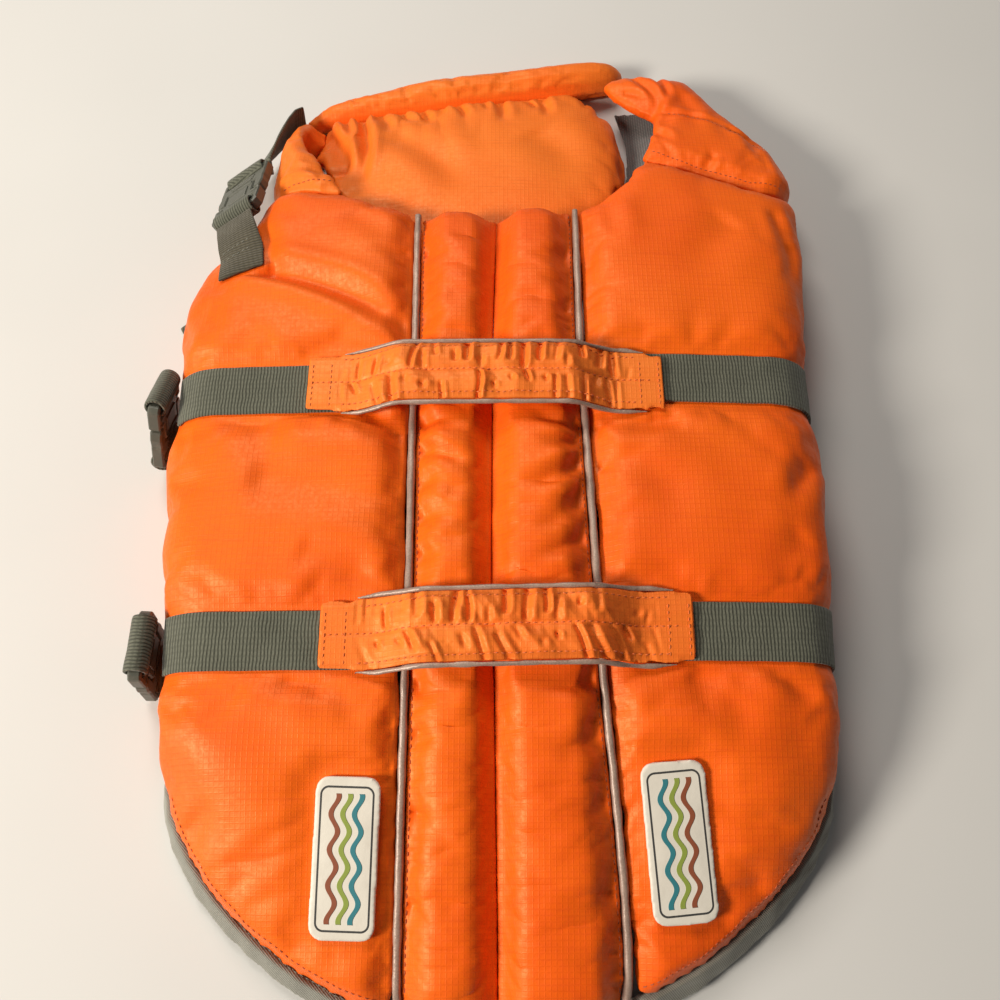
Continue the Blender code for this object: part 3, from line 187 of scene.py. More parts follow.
# %% Hold a material together
class Finish:
    """A material with one shader, and the one method that adds its other nodes."""

    def __init__(self, name, **constants):
        self.material = bpy.data.materials.new(name)
        self.material.use_nodes = True
        self.tree = self.material.node_tree
        self.shader = self.tree.nodes["Principled BSDF"]
        for name, value in constants.items():
            socket = name.replace("_", " ").title().replace("Ior", "IOR")
            self.shader.inputs[socket].default_value = value

    def node(self, kind, settings=None, sockets=None, output=0):
        made = self.tree.nodes.new(kind)
        for name, value in (settings or {}).items():
            setattr(made, name, value)
        for name, value in (sockets or {}).items():
            if isinstance(value, Link):
                self.tree.links.new(value.socket, made.inputs[name])
            else:
                made.inputs[name].default_value = value
        return Link(self, made.outputs[output])

    def mix(self, mask, first, second):
        """Colours: first where the mask is 0 and second where it is 1."""
        settings = {"data_type": "RGBA", "clamp_factor": True}
        return self.node("ShaderNodeMix", settings, {0: mask, 6: first, 7: second}, output=2)

    def place(self):
        """Where a point lies, in metres, in the jacket's own frame."""
        return self.node("ShaderNodeTexCoord", output="Object")

    def facing(self):
        return self.node("ShaderNodeNewGeometry", output="Normal")

    def split(self, vector):
        made = self.tree.nodes.new("ShaderNodeSeparateXYZ")
        self.tree.links.new(vector.socket, made.inputs[0])
        return [Link(self, out) for out in made.outputs]

    def along(self, vector, way):
        """How far a point lies along a direction."""
        settings = {"operation": "DOT_PRODUCT"}
        return self.node("ShaderNodeVectorMath", settings, {0: vector, 1: way}, output="Value")

    def cloud(self, scale, detail=2.0, rough=0.5, vector=None):
        """Soft noise around 0.5. The larger the scale is, the finer the grain."""
        sockets = {"Vector": vector or self.place()}
        sockets |= {"Scale": scale, "Detail": detail, "Roughness": rough}
        return self.node("ShaderNodeTexNoise", None, sockets, output="Fac")

    def feed(self, socket, value):
        self.tree.links.new(value.socket, self.shader.inputs[socket])

    def relief(self, height, strength=1.0):
        """Height in millimetres, turned into a leaning of the surface."""
        sockets = {"Height": height, "Distance": MM, "Strength": strength}
        self.feed("Normal", self.node("ShaderNodeBump", None, sockets))


print("a finish can now be written as a few sums")

# %% [markdown]
# ## Ripstop
#
# The shell is orange nylon ripstop: a plain weave with a heavier thread every two millimetres or
# so, in both directions. The threads could be unwrapped onto each piece, but no piece has a map.
# A grid laid on from one side would smear on the flanks, so each family of lines fades out where
# the surface turns to face along it, and the weave follows the jacket all round.


# %% Draw the grid threads
GRID_PITCH = 2.3  # mm from one heavy thread to the next
THREAD_WIDTH = 0.16  # against the pitch


def grid_threads(finish, pitch, width):
    """1 on the heavy threads and 0 between them."""
    place, facing = finish.split(finish.place()), finish.split(finish.facing())
    total = None
    for coordinate, turned in zip(place, facing):
        on_thread = 1 - coordinate.row(pitch).step(width * 0.3, width)
        seen = on_thread * (1 - abs(turned).step(0.62, 0.8))
        total = seen if total is None else total.math("MAXIMUM", seen)
    return total


print("ripstop has a heavy thread every", GRID_PITCH, "mm")

# %% [markdown]
# Between the heavy threads the cloth isn't even. It has slubs, which are thicker bits of yarn, and
# long fine lines where the weft was beaten in unevenly, and it is a little crumpled from wear.
# Satin nylon also throws back a warm light, so its shine is tinted. The float, its band and the
# left wing get a paler copy of the same orange, which is painted light: a lit copy of the cloth,
# not a cloth of their own. The handles are cut from a lighter cloth.


# %% Weave the ripstop
def ripstop(name, bright, deep):
    finish = Finish(
        name,
        roughness=0.5,
        sheen_weight=0.05,
        sheen_roughness=0.4,
        sheen_tint=(1.0, 0.5, 0.2, 1.0),
        specular_ior_level=0.55,
        specular_tint=(1.0, 0.76, 0.44, 1.0),
    )
    threads = grid_threads(finish, GRID_PITCH * MM, THREAD_WIDTH)
    patches = finish.cloud(11.0, 3.0).step(0.35, 0.7)
    slubs = finish.cloud(420.0, 2.0).step(0.3, 0.75)
    along_weft = {0: finish.place(), 1: (45.0, 900.0, 200.0)}
    stretched = finish.node("ShaderNodeVectorMath", {"operation": "MULTIPLY"}, along_weft)
    lines = finish.cloud(1.0, 2.0, vector=stretched).step(0.5, 0.72)
    colour = finish.mix(patches * 0.5 + slubs * 0.2, bright, deep)
    darker = tuple(c * 0.72 for c in deep[:3]) + (1.0,)
    finish.feed("Base Color", finish.mix(threads * 0.1 + lines * 0.16, colour, darker))
    finish.feed("Roughness", 0.46 + slubs * 0.12)
    weave = finish.cloud(1500.0, 1.0)
    crumple = finish.cloud(95.0, 3.0, 0.55)
    finish.relief(threads * 0.04 - lines * 0.03 + weave * 0.04 + crumple * 0.2)
    return finish.material


ORANGE = ripstop("orange_ripstop", (0.94, 0.145, 0.005, 1.0), (0.84, 0.076, 0.002, 1.0))
HANDLE_ORANGE = ripstop("handle_ripstop", (0.92, 0.22, 0.03, 1.0), (0.83, 0.13, 0.012, 1.0))
# a paler copy of the orange, painted light for the float, its band and the left wing
LIT_ORANGE = ripstop("lit_float_ripstop", (0.95, 0.205, 0.02, 1.0), (0.86, 0.125, 0.008, 1.0))
print("three rolls of ripstop woven")

# %% [markdown]
# ## Webbing and tape
#
# Webbing is woven thick and narrow, and what the eye sees is its ribs, short bars across the
# tape. Ribs could be modelled, at a great cost in faces, or drawn on a map that each strap would
# need. Here they are a row of lines along the strap's travel. Where it turns down the flank the
# row is read from its height instead.


# %% Weave the webbing
RIB_PITCH = 1.55  # mm from rib to rib
RIB_RELIEF = 0.24  # mm, how far the ribs stand out
BUNDLE = 2.5  # mm, how wide a bundle of yarn lies across the tape


def webbing(name, travel, drop, across, light, dark):
    """Travel, drop and across are the strap's own directions."""
    shine = {"sheen_weight": 0.2, "sheen_roughness": 0.5, "specular_ior_level": 0.25}
    finish = Finish(name, roughness=0.82, **shine)
    place, facing = finish.place(), finish.facing()
    shift = finish.along(place, across)
    turned = abs(finish.along(facing, travel)).step(0.66, 0.78)
    unevenness = (finish.cloud(170.0, 2.0) - 0.5) * (1.3 * MM)
    flat_row = (finish.along(place, travel) + unevenness).row(RIB_PITCH * MM)
    drop_row = (finish.along(place, drop) + unevenness).row(RIB_PITCH * MM)
    row = flat_row * (1 - turned) + drop_row * turned
    ends = shift.row(BUNDLE * MM).step(0.05, 0.35)
    ribs = row.step(0.05, 0.36) * (0.72 + ends * 0.28)
    fuzz = finish.cloud(900.0, 2.0, 0.65)
    wear = finish.cloud(60.0, 3.0)
    # rib tops are painted lighter and the valleys between them darker: painted shade in the
    # valleys, over the relief that raises the ribs; fuzz and wear are the tape's own
    tone = ribs * 0.5 + fuzz * 0.34 + wear * 0.34 - 0.13
    finish.feed("Base Color", finish.mix(tone, dark, light))
    finish.feed("Roughness", 0.74 + fuzz * 0.2)
    finish.relief(ribs * RIB_RELIEF + fuzz * 0.12)
    return finish.material


X, Y, Z = (1.0, 0.0, 0.0), (0.0, 1.0, 0.0), (0.0, 0.0, 1.0)
GREY_LIGHT, GREY_DARK = (0.185, 0.19, 0.145, 1.0), (0.024, 0.027, 0.018, 1.0)
WEBBING = webbing("grey_webbing", X, Z, Y, GREY_LIGHT, GREY_DARK)
print("webbing has a rib every", RIB_PITCH, "mm")

# %% [markdown]
# The hem is bound with a thin grey twill, whose ridges run slantwise. The lining that shows at
# the neck is a knit mesh with small holes. Both could be made as real yarn, but from an arm's
# length only their grain shows.


# %% Weave the binding and the lining
TWILL_PITCH = 1.15  # mm
MESH_PITCH = 1.3  # mm


def binding(name):
    finish = Finish(name, roughness=0.85, sheen_weight=0.25, specular_ior_level=0.25)
    place = finish.split(finish.place())
    steep = 1 - abs(finish.split(finish.facing())[2]).step(0.35, 0.65)
    twill = (place[0] + place[1]).row(TWILL_PITCH * MM).step(0.08, 0.4).math("MAXIMUM", steep)
    fuzz = finish.cloud(1000.0, 2.0, 0.6)
    wear = finish.cloud(45.0, 3.0)
    tone = twill * 0.5 + fuzz * 0.3 + wear * 0.4 - 0.15
    finish.feed("Base Color", finish.mix(tone, (0.12, 0.12, 0.10, 1.0), (0.40, 0.395, 0.35, 1.0)))
    finish.relief(twill * 0.16 + fuzz * 0.1 + wear * 0.2)
    return finish.material


def knit(name):
    finish = Finish(name, roughness=0.92, sheen_weight=0.3, specular_ior_level=0.2)
    place = finish.split(finish.place())
    across, down = (place[axis].row(MESH_PITCH * MM).step(0.1, 0.4) for axis in (0, 1))
    holes = across * down
    fuzz = finish.cloud(800.0, 2.0)
    tone = holes * 0.5 + fuzz * 0.4
    colour = finish.mix(tone, (0.055, 0.055, 0.055, 1.0), (0.16, 0.155, 0.15, 1.0))
    finish.feed("Base Color", colour)
    finish.relief(holes * 0.2 + fuzz * 0.1)
    return finish.material


BINDING = binding("grey_binding")
LINING = knit("grey_lining")
print("binding and lining are woven")

# %% [markdown]
# Piping is a folded strip of reflective tape, whose fine glass beads are worn off in places. Beads
# throw light straight back to where it comes from, which no single node does. Under a soft light
# that hardly shows, so a pale grain with a little metal in it is enough.


# %% Coat the piping
def reflective(name):
    finish = Finish(name, roughness=0.42, metallic=0.15, specular_ior_level=0.6)
    beads = finish.cloud(1400.0, 1.0).step(0.35, 0.65)
    wear = finish.cloud(70.0, 3.0).step(0.35, 0.75)
    tone = beads * 0.35 + wear * 0.45
    finish.feed("Base Color", finish.mix(tone, (0.29, 0.20, 0.16, 1.0), (0.47, 0.355, 0.29, 1.0)))
    finish.relief(beads * 0.03 + wear * 0.12)
    return finish.material


PIPING = reflective("reflective_piping")
print("piping is coated")

# %% [markdown]
# ## Moulded pieces and thread
#
# The buckles are moulded in grey acetal, slightly grained and scuffed pale in places. Thread is a
# plain round yarn. Its twist could be modelled, but it is too fine to see, so it only varies in
# tone. The darker orange thread is the same yarn with painted shade, for the rows that sink into
# the seams.


# %% Mould the plastic and spin the thread
def plastic(name):
    finish = Finish(name, roughness=0.42, specular_ior_level=0.4)
    grain = finish.cloud(700.0, 2.0)
    scuffs = finish.cloud(90.0, 4.0, 0.7).step(0.5, 0.72)
    colour = finish.mix(scuffs * 0.5, (0.085, 0.088, 0.07, 1.0), (0.17, 0.17, 0.14, 1.0))
    finish.feed("Base Color", colour)
    finish.feed("Roughness", 0.36 + grain * 0.1 + scuffs * 0.18)
    finish.relief(grain * 0.05)
    return finish.material


def thread(name, pale, dark):
    finish = Finish(name, roughness=0.7, sheen_weight=0.2)
    fibre = finish.cloud(900.0, 2.0)
    finish.feed("Base Color", finish.mix(fibre, dark, pale))
    finish.relief(fibre * 0.1)
    return finish.material


PLASTIC = plastic("grey_buckle_plastic")
ORANGE_THREAD = thread("orange_thread", (0.85, 0.22, 0.04, 1.0), (0.6, 0.09, 0.01, 1.0))
# the same orange yarn darkened: painted shade for stitches that sink into the seams
PAINTED_SHADE_THREAD = thread("painted_shade_thread", (0.52, 0.10, 0.015, 1.0), (0.3, 0.045, 0.006, 1.0))
GREY_THREAD = thread("grey_thread", (0.28, 0.28, 0.24, 1.0), (0.12, 0.12, 0.1, 1.0))
print("plastic moulded, three threads spun")

# %% [markdown]
# ## From a cut piece's form to cloth
#
# Each padded piece starts as its solid's form, remade with small even faces so that it can bend
# anywhere. Its points are then moved by short sums over all of them at once. Blender can hand out
# its points one by one, which is slow for a hundred thousand of them, so they are read and
# written in one go as an array.


# %% Read and write points fast
def points_of(mesh):
    flat = np.empty(len(mesh.vertices) * 3, np.float32)
    mesh.vertices.foreach_get("co", flat)
    return flat.reshape(-1, 3).astype(float)


def normals_of(mesh):
    flat = np.empty(len(mesh.vertices) * 3, np.float32)
    mesh.vertex_normals.foreach_get("vector", flat)
    return flat.reshape(-1, 3).astype(float)


def put_points(mesh, points):
    mesh.vertices.foreach_set("co", np.asarray(points, np.float32).ravel())
    mesh.update()


def settle_modifiers(piece):
    """Turns what the modifiers show into the piece's own mesh."""
    bpy.context.view_layer.update()
    seen = piece.evaluated_get(bpy.context.evaluated_depsgraph_get())
    made = bpy.data.meshes.new_from_object(seen)
    piece.modifiers.clear()
    old, piece.data = piece.data, made
    bpy.data.meshes.remove(old)


print("points can be read and written")

# %% [markdown]
# ## What lies next to a piece
#
# Cloth may only swell where nothing holds it: next to a seam, a strap or a label it stays down.
# Those places could be painted by hand, piece by piece. Here a search tree answers how far each
# point is from the piece's neighbours, and a soft step turns that into a share between held and
# free.


# %% Measure the distance to the neighbours
def tree_of(*meshes):
    """One search tree over the faces of several meshes."""
    points, faces = [], []
    for mesh in meshes:
        first = len(points)
        points += [v.co.copy() for v in mesh.vertices]
        faces += [[first + i for i in p.vertices] for p in mesh.polygons]
    return BVHTree.FromPolygons(points, faces)


def neighbours_of(*names):
    return tree_of(*(node.data for name, node in frame["nodes"].items() if name not in names))


def distances(tree, points, reach=0.03):
    """How far each point is from the nearest face, or reach where nothing is near."""
    found = [tree.find_nearest(p, reach)[3] for p in points]
    return np.array([reach if d is None else d for d in found])


def smooth(value, low, high):
    """0 below low and 1 above high, with a soft change between."""
    share = np.clip((value - low) / (high - low), 0, 1)
    return share * share * (3 - 2 * share)


LEAST_SHARE = 0.01  # a smaller share than this isn't worth a move


def back_to_solid(name, points, share):
    """Moves each point by its share toward the nearest place on the piece's own solid."""
    own = tree_of(frame["nodes"][name].data)
    for i in np.nonzero(share > LEAST_SHARE)[0]:
        points[i] += (np.array(own.find_nearest(points[i])[0]) - points[i]) * share[i]
    return points


print("each point can find its neighbours and its own solid")

# %% [markdown]
# A solid comes in as large flat facets, and it could only bend where two of them meet. Cutting
# them finer would leave long thin faces, and cloth would crease along those. The voxel remesh
# lays faces of one size over the same form instead. It leaves small steps where a facet slants,
# so a light smoothing eases them.


# %% Make an even mesh
def even_copy(name, grain, ease_steps=4):
    """The solid's own form in even faces as wide as the grain, with its facets eased."""
    piece = bpy.data.objects.new(f"{name}_cloth", frame["nodes"][name].data.copy())
    bpy.context.scene.collection.objects.link(piece)
    even = piece.modifiers.new("even_mesh", "REMESH")
    even.mode = "VOXEL"
    even.voxel_size = grain * MM
    ease = piece.modifiers.new("ease_facets", "SMOOTH")
    ease.factor = 0.5
    ease.iterations = ease_steps
    settle_modifiers(piece)
    return piece


def refine(piece):
    finer = piece.modifiers.new("finer", "SUBSURF")
    finer.levels = finer.render_levels = 1
    settle_modifiers(piece)


print("any solid can be remade in even faces")

# %% [markdown]
# ## Foam under the cloth
#
# Foam presses a piece out from inside while its seams hold it, which is what makes real padding
# wrinkle: the cloth is a little larger than the seam that it is sewn to. This could be sculpted,
# but Blender's Cloth with pressure finds the puckers by itself. It knows nothing of the fit, so
# no point may move further than a stated reach.


# %% Press the foam out
PRESSURE = 4.0
FRAMES = 14
HAIR = 1e-9  # m, keeps a still point from a division by zero


def press_out(piece, held, slack, stiff, reach):
    """Inflates the piece while the held points stay, and lets no point move further than reach."""
    start = points_of(piece.data)
    group = piece.vertex_groups.new(name="seams")
    for i, hold in enumerate(held):
        if hold > LEAST_SHARE:
            group.add([i], float(hold), "REPLACE")
    cloth = piece.modifiers.new("foam", "CLOTH")
    cloth.settings.vertex_group_mass = "seams"
    cloth.settings.use_pressure = True
    cloth.settings.uniform_pressure_force = PRESSURE
    cloth.settings.shrink_min = -slack
    cloth.settings.shrink_max = -slack
    cloth.settings.bending_stiffness = stiff
    cloth.settings.effector_weights.gravity = 0.0
    cloth.collision_settings.use_collision = False
    cloth.point_cache.frame_start = 1
    cloth.point_cache.frame_end = FRAMES
    for frame_number in range(1, FRAMES + 1):
        bpy.context.scene.frame_set(frame_number)
    seen = piece.evaluated_get(bpy.context.evaluated_depsgraph_get())
    moved = points_of(seen.data) - start
    piece.modifiers.clear()
    piece.vertex_groups.clear()
    far = np.linalg.norm(moved, axis=1, keepdims=True)
    limit = reach * MM
    moved *= limit * np.tanh(far / limit) / np.maximum(far, HAIR)
    moved *= 1 - np.asarray(held)[:, None]
    put_points(piece.data, start + moved)
    bpy.context.scene.frame_set(1)
    most = round(float(np.abs(moved).max()) / MM, 1)
    print(piece.name, len(start), "points, moved up to", most, "mm")


print("foam presses for", FRAMES, "frames")

# %% [markdown]
# A finished piece takes what it is made of, rides on the jacket's body, and hides the solid that
# it stands in for. Each piece could do so for itself, but a piece that forgets would leave its
# solid showing through the cloth, so one helper does it for all of them.


# %% Name what a piece stands for
def finish_cloth(piece, name, material):
    """Gives the piece its material, hangs it on the root body, and hides the solid it stands for.
    """
    piece.data.materials.clear()
    piece.data.materials.append(material)
    piece.data.polygons.foreach_set("use_smooth", [True] * len(piece.data.polygons))
    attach(piece, "root")
    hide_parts(name)
    return piece


print("a finished piece can take the place of its solid")

# %% [markdown]
# ## Creases placed by hand
#
# ## Creases placed one by one
# on the shoulder, from the gathered seam of the float. A simulation gives folds, but never just
# these. So each is one row of a table, a line from one point to another with its own width and
# depth. A half width below zero turns the fold's higher ridge to its other side, and a depth
# below zero raises a ridge in place of a fold.

# %% List the folds
# x and y where a fold starts, x and y where it ends, half width, depth, all in millimetres
CREASES = {
    "side_panel_left": [
        (-112, 82, -26, 33, -6.0, 6.0),
        (-128, 96, -98, 88, -8.0, 2.0),
        (-66, 4, -34, -17, 6.0, 4.0),
        (-112, -1, -96, -40, 12.0, 2.6),
        (-98, -36, -38, -55, 11.0, 2.8),
        (-137, -10, -128, -62, 11.0, 1.8),
        (-76, -70, -42, -84, 8.0, 1.5),
        (-80, -122, -56, -138, 7.5, 2.6),
        (-122, -126, -104, -150, 10.0, 1.8),
        (-132, -165, -92, -214, 12.0, 1.5),
        (-62, -196, -40, -232, 8.0, 1.6),
        (-66, 116, -40, 86, 9.0, 1.7),
    ],
    "side_panel_right": [
        (152, 118, 150, 80, 3.6, 1.5),
        (158, 98, 148, 72, 3.0, 1.4),
        (124, 110, 92, 78, 11.0, 1.8),
        (66, 2, 104, -22, 9.0, 2.0),
        (148, -26, 134, -48, 5.0, 2.2),
        (70, -24, 92, -60, 10.0, 1.4),
        (142, -64, 120, -84, 8.0, 1.6),
        (92, -124, 116, -150, 8.0, 2.2),
        (136, -128, 124, -172, 9.0, 1.8),
        (112, -206, 80, -226, 9.0, 1.5),
        (62, 126, 60, 88, 6.0, 1.4),
    ],
    "spine_channel_left": [
        (-33, -6, -6, -14, 3.5, 1.9),
        (-33, -19, -4, -34, 3.4, 2.3),
        (-33, -38, -14, -37, 3.0, 1.7),
        (-33, -52, -4, -60, 3.8, 2.2),
        (-33, -70, -16, -75, 3.2, 1.6),
        (-33, 92, -12, 80, 5.0, 1.3),
        (-33, 52, -18, 46, 4.0, 1.3),
        (-33, 118, -12, 122, 5.0, 1.4),
        (-34, -126, -10, -138, 4.5, 2.0),
        (-35, -148, -16, -150, 4.0, 1.4),
        (-36, -176, -10, -190, 6.0, 1.5),
        (-37, -214, -18, -218, 5.0, 1.3),
    ],
    "spine_channel_right": [
        (46, -8, 20, -3, 3.0, 2.0),
        (47, -14, 24, -19, 3.0, 2.6),
        (47, -24, 14, -40, 3.8, 2.8),
        (48, -38, 22, -60, 4.0, 2.2),
        (49, -58, 18, -74, 3.8, 1.8),
        (46, 92, 22, 82, 4.5, 1.4),
        (46, 60, 30, 54, 3.5, 1.3),
        (46, 118, 24, 126, 5.0, 1.2),
        (51, -122, 22, -128, 4.0, 2.2),
        (53, -142, 26, -156, 4.5, 1.8),
        (56, -172, 34, -178, 4.0, 1.4),
        (58, -204, 28, -216, 6.0, 1.5),
    ],
    "shoulder_wing_left": [(-84, 172, -110, 184, 3.4, 1.7), (-82, 158, -112, 160, 3.0, 1.4)],
    "shoulder_wing_right": [
        (88, 238, 101, 206, 2.4, 1.5),
        (101, 238, 106, 216, 2.0, 1.6),
        (82, 226, 95, 217, 2.0, 1.1),
        (114, 220, 119, 186, 5.0, 1.0),
        (130, 204, 136, 178, 4.5, 0.8),
        (149, 186, 150, 164, 3.5, 1.0),
        (96, 190, 104, 174, 2.8, 1.1),
        (126, 168, 118, 157, 2.4, 0.9),
        (96, 188, 118, 230, 2.8, -1.2),
        (104, 206, 142, 191, 2.0, 1.1),
        (140, 192, 161, 171, 2.0, 1.1),
    ],
    "chin_float": [
        (-75, 214, -73, 148, 3.2, 3.8),
        (-93, 206, -76, 150, 3.4, 3.6),
        (-84, 212, -80, 188, 2.4, 2.6),
        (-64, 214, -57, 194, 3.0, 2.4),
        (-50, 216, -43, 203, 2.2, 1.7),
        (-47, 190, -10, 142, -9.0, 2.2),
        (-41, 221, -33, 201, 2.8, 2.3),
        (-27, 222, -25, 211, 1.8, 1.3),
        (-18, 223, -12, 206, 2.6, 2.1),
        (-2, 224, 0, 214, 1.8, 1.2),
        (7, 225, 8, 202, 3.0, 2.2),
        (24, 227, 29, 216, 2.0, 1.5),
        (33, 229, 34, 207, 2.8, 2.0),
        (55, 230, 58, 219, 2.0, 1.3),
        (67, 231, 62, 209, 2.8, 1.8),
        (30, 192, 54, 158, 11.0, 1.5),
    ],
}
print(sum(len(rows) for rows in CREASES.values()), "folds in", len(CREASES), "pieces")

# %% [markdown]
# A fold is a groove between two low ridges, since the cloth that sinks has to come from
# somewhere. Each of the three is the same round hump, moved aside and turned up or down. The fold
# bows a little, fades out along its length, and only sinks into cloth that doesn't face down.


# %% Sink the folds
BOW = 0.08  # how far a fold bends aside, against its length
FAR_RIDGE, FAR_HEIGHT = 1.9, 0.45  # place in half widths, height against the fold's depth
NEAR_RIDGE, NEAR_HEIGHT = -2.0, 0.3
UNDERSIDE = -0.1  # cloth whose normal points further down than this isn't creased


def hump(off, place=0.0):
    """A soft round hump over the distance from a line."""
    return np.exp(-((off - place) ** 2))


def crease(points, normals, rows):
    """Sinks each fold of the table into the points, with a ridge on both sides."""
    sink = np.zeros(len(points))
    for x1, y1, x2, y2, half, depth in rows:
        start, end = np.array([x1, y1]) * MM, np.array([x2, y2]) * MM
        way = end - start
        length = np.linalg.norm(way)
        way = way / length
        rest = points[:, :2] - start
        run = rest @ way / length
        bow = BOW * length * np.sin(np.clip(run, 0, 1) * math.pi)
        off = (rest @ np.array([-way[1], way[0]]) - bow) / (half * MM)
        fade = np.clip(run * 5 + 1, 0, 1) * np.clip((1 - run) * 1.6, 0, 1)
        fade = fade * fade * (3 - 2 * fade)
        deep = depth * MM * fade
        sink += deep * (hump(off) - FAR_HEIGHT * hump(off, FAR_RIDGE))
        sink -= deep * NEAR_HEIGHT * hump(off, NEAR_RIDGE)
    upward = np.clip((normals[:, 2] - UNDERSIDE) * 3, 0, 1)
    return points - normals * (sink * upward)[:, None]


print("a fold sinks between two ridges")

# %% [markdown]
# Where cloth is eased into a seam, short puckers stand square to it. There are far too many to
# place by hand, so their length, width, depth and slant are drawn at random, always from the same
# seed, and each run gives the same jacket. Foam is never quite even either, so a few long waves
# wander over each piece.


# %% Gather and waver the cloth
# length, half width and depth in millimetres, and slant, of the smallest and the largest pucker
SMALLEST_PUCKER = [4.0, 0.8, 0.3, -0.4]
LARGEST_PUCKER = [19.0, 1.9, 1.5, 0.6]
PUCKER_GAP = (3.2, 9.0)  # mm from one pucker to the next
SAME_PLACE = 9.0  # mm along the jacket, within which a strip's points tell where its middle is
WAVES, EVEN_OUT, ANY_START = 7, 3.7, 6.28


def gathers(points, strip, side, seed):
    """Short puckers square to a strip's seam, of uneven length and spacing."""
    line = points_of(frame["nodes"][strip].data) / MM
    draw = np.random.default_rng(seed)
    x, y = points[:, 0] / MM, points[:, 1] / MM
    marks = np.arange(line[:, 1].min(), line[:, 1].max(), 8.0)
    middle = [line[np.abs(line[:, 1] - mark) < SAME_PLACE, 0].mean() for mark in marks]
    out = (x - np.interp(y, marks, middle)) * side
    sink, spot = np.zeros(len(points)), marks[0] + 5.0
    while spot < marks[-1]:
        long, wide, depth, slant = draw.uniform(SMALLEST_PUCKER, LARGEST_PUCKER)
        off = (y - spot - slant * out) / wide
        sink += depth * hump(off) * smooth(-out, -long, -2.5) * smooth(out, 0.5, 2.0)
        spot += draw.uniform(*PUCKER_GAP)
    return sink * MM


def wander(points, wave, seed):
    """A slow, even-handed rise and fall over space, between about -1 and 1."""
    draw = np.random.default_rng(seed)
    total = np.zeros(len(points))
    for _ in range(WAVES):
        way = draw.normal(size=3)
        way /= np.linalg.norm(way)
        length = wave * MM * draw.uniform(0.7, 1.6)
        total += np.sin(points @ way * 2 * math.pi / length + draw.uniform(0, ANY_START))
    return total / EVEN_OUT


print("puckers stand", PUCKER_GAP, "mm apart")

# %% [markdown]
# ## Pieces that crowd each other
#
# The chin float is crowded in beside the left wing, and in real foam no gap stays open there. The
# solids leave a narrow one, since two solids may not touch. The wing and the float could be
# joined, but they are two cut pieces, so each swells toward the other instead. The moves are
# shared among neighbours, or single points would be drawn out into spikes.


# %% Swell into a gap
SHARED_STEPS = 5  # how many faces away a move is still shared
FACING = (0.1, 0.6)  # from looking past the other piece to looking at it


def spread(moves, mesh):
    """Shares each point's move with its neighbours."""
    ends = np.empty(len(mesh.edges) * 2, np.int32)
    mesh.edges.foreach_get("vertices", ends)
    first, second = ends[0::2], ends[1::2]
    count = np.maximum(np.bincount(ends, minlength=len(moves)), 1)[:, None]
    for _ in range(SHARED_STEPS):
        total = np.zeros_like(moves)
        np.add.at(total, first, moves[second])
        np.add.at(total, second, moves[first])
        moves = (moves + total / count) / 2
    return moves


def close_up(points, normals, around, widest, left=0.45):
    """Swells the cloth toward what faces it across a narrow gap, and leaves a hair's breadth."""
    for i, (point, normal) in enumerate(zip(points, normals)):
        spot, _, _, far = around.find_nearest(point, widest * MM)
        if spot is None or far < left * MM:
            continue
        way = (np.array(spot) - point) / far
        turned = smooth(way @ normal, *FACING)
        narrow = smooth(-far / MM, -widest, -widest * 0.45)
        points[i] = point + way * (far - left * MM) * turned * narrow
    return points


print("crowded pieces can meet")

# %% [markdown]
# ## The padded pieces
#
# Side panels, spine channels, shoulder wings, the chin float and its band are all foam between
# two layers of ripstop. The cloth next to a seam, strap or label stays where the stitching holds
# it, and everything else swells and folds. Each limit between held and free could be one
# distance, but a seam doesn't end at a line, so each is two, with a soft change between them.


# %% Say where the cloth is held and free
# the strip that each piece is gathered onto, and on which side of it the piece lies
GATHERED = {
    "side_panel_left": ("piping_left", -1),
    "side_panel_right": ("piping_right", 1),
    "spine_channel_left": ("piping_left", 1),
    "spine_channel_right": ("piping_right", -1),
}
# the piece that each of these swells toward, and over how wide a gap
SWELL = {"chin_float": ("shoulder_wing_left", 20.0), "shoulder_wing_left": ("chin_float", 12.0)}
# these pieces wear the paler copy of the orange, which is painted light
LIT_PIECES = ("chin_float", "float_band", "shoulder_wing_left")

# two distances in millimetres from the nearest neighbour: the cloth is held at the first, and
# free at the second
ON_SOLID, SEWN = (1.5, 6.0), (1.5, 8.0)
CREASED, LAID_BACK = (0.8, 4.5), (0.8, 2.6)
CROWNED = (1.0, 15.0)
SEAMSIDE, SEAMSIDE_WIDTH = 4.0, 3.0
# how far up the cloth faces, from not at all to enough
TOP_SIDE, WELL_UP = (0.0, 0.5), (0.1, 0.7)
# height and length in millimetres of the foam's slow waves, and of the quick ones beside a seam
SLOW_HEIGHT, SLOW_WAVE = 0.5, 42.0
QUICK_HEIGHT, QUICK_WAVE = 0.13, 8.0
print(len(SWELL), "pieces swell toward each other,", len(GATHERED), "are gathered onto a strip")

# %% [markdown]
# The order of the steps matters. First the foam presses out, then the folds sink into it, and
# last of all the cloth by the seams is laid back on its solid, so that no piece leaves its
# neighbour. Folds could come first, but the pressure would blow them out again.


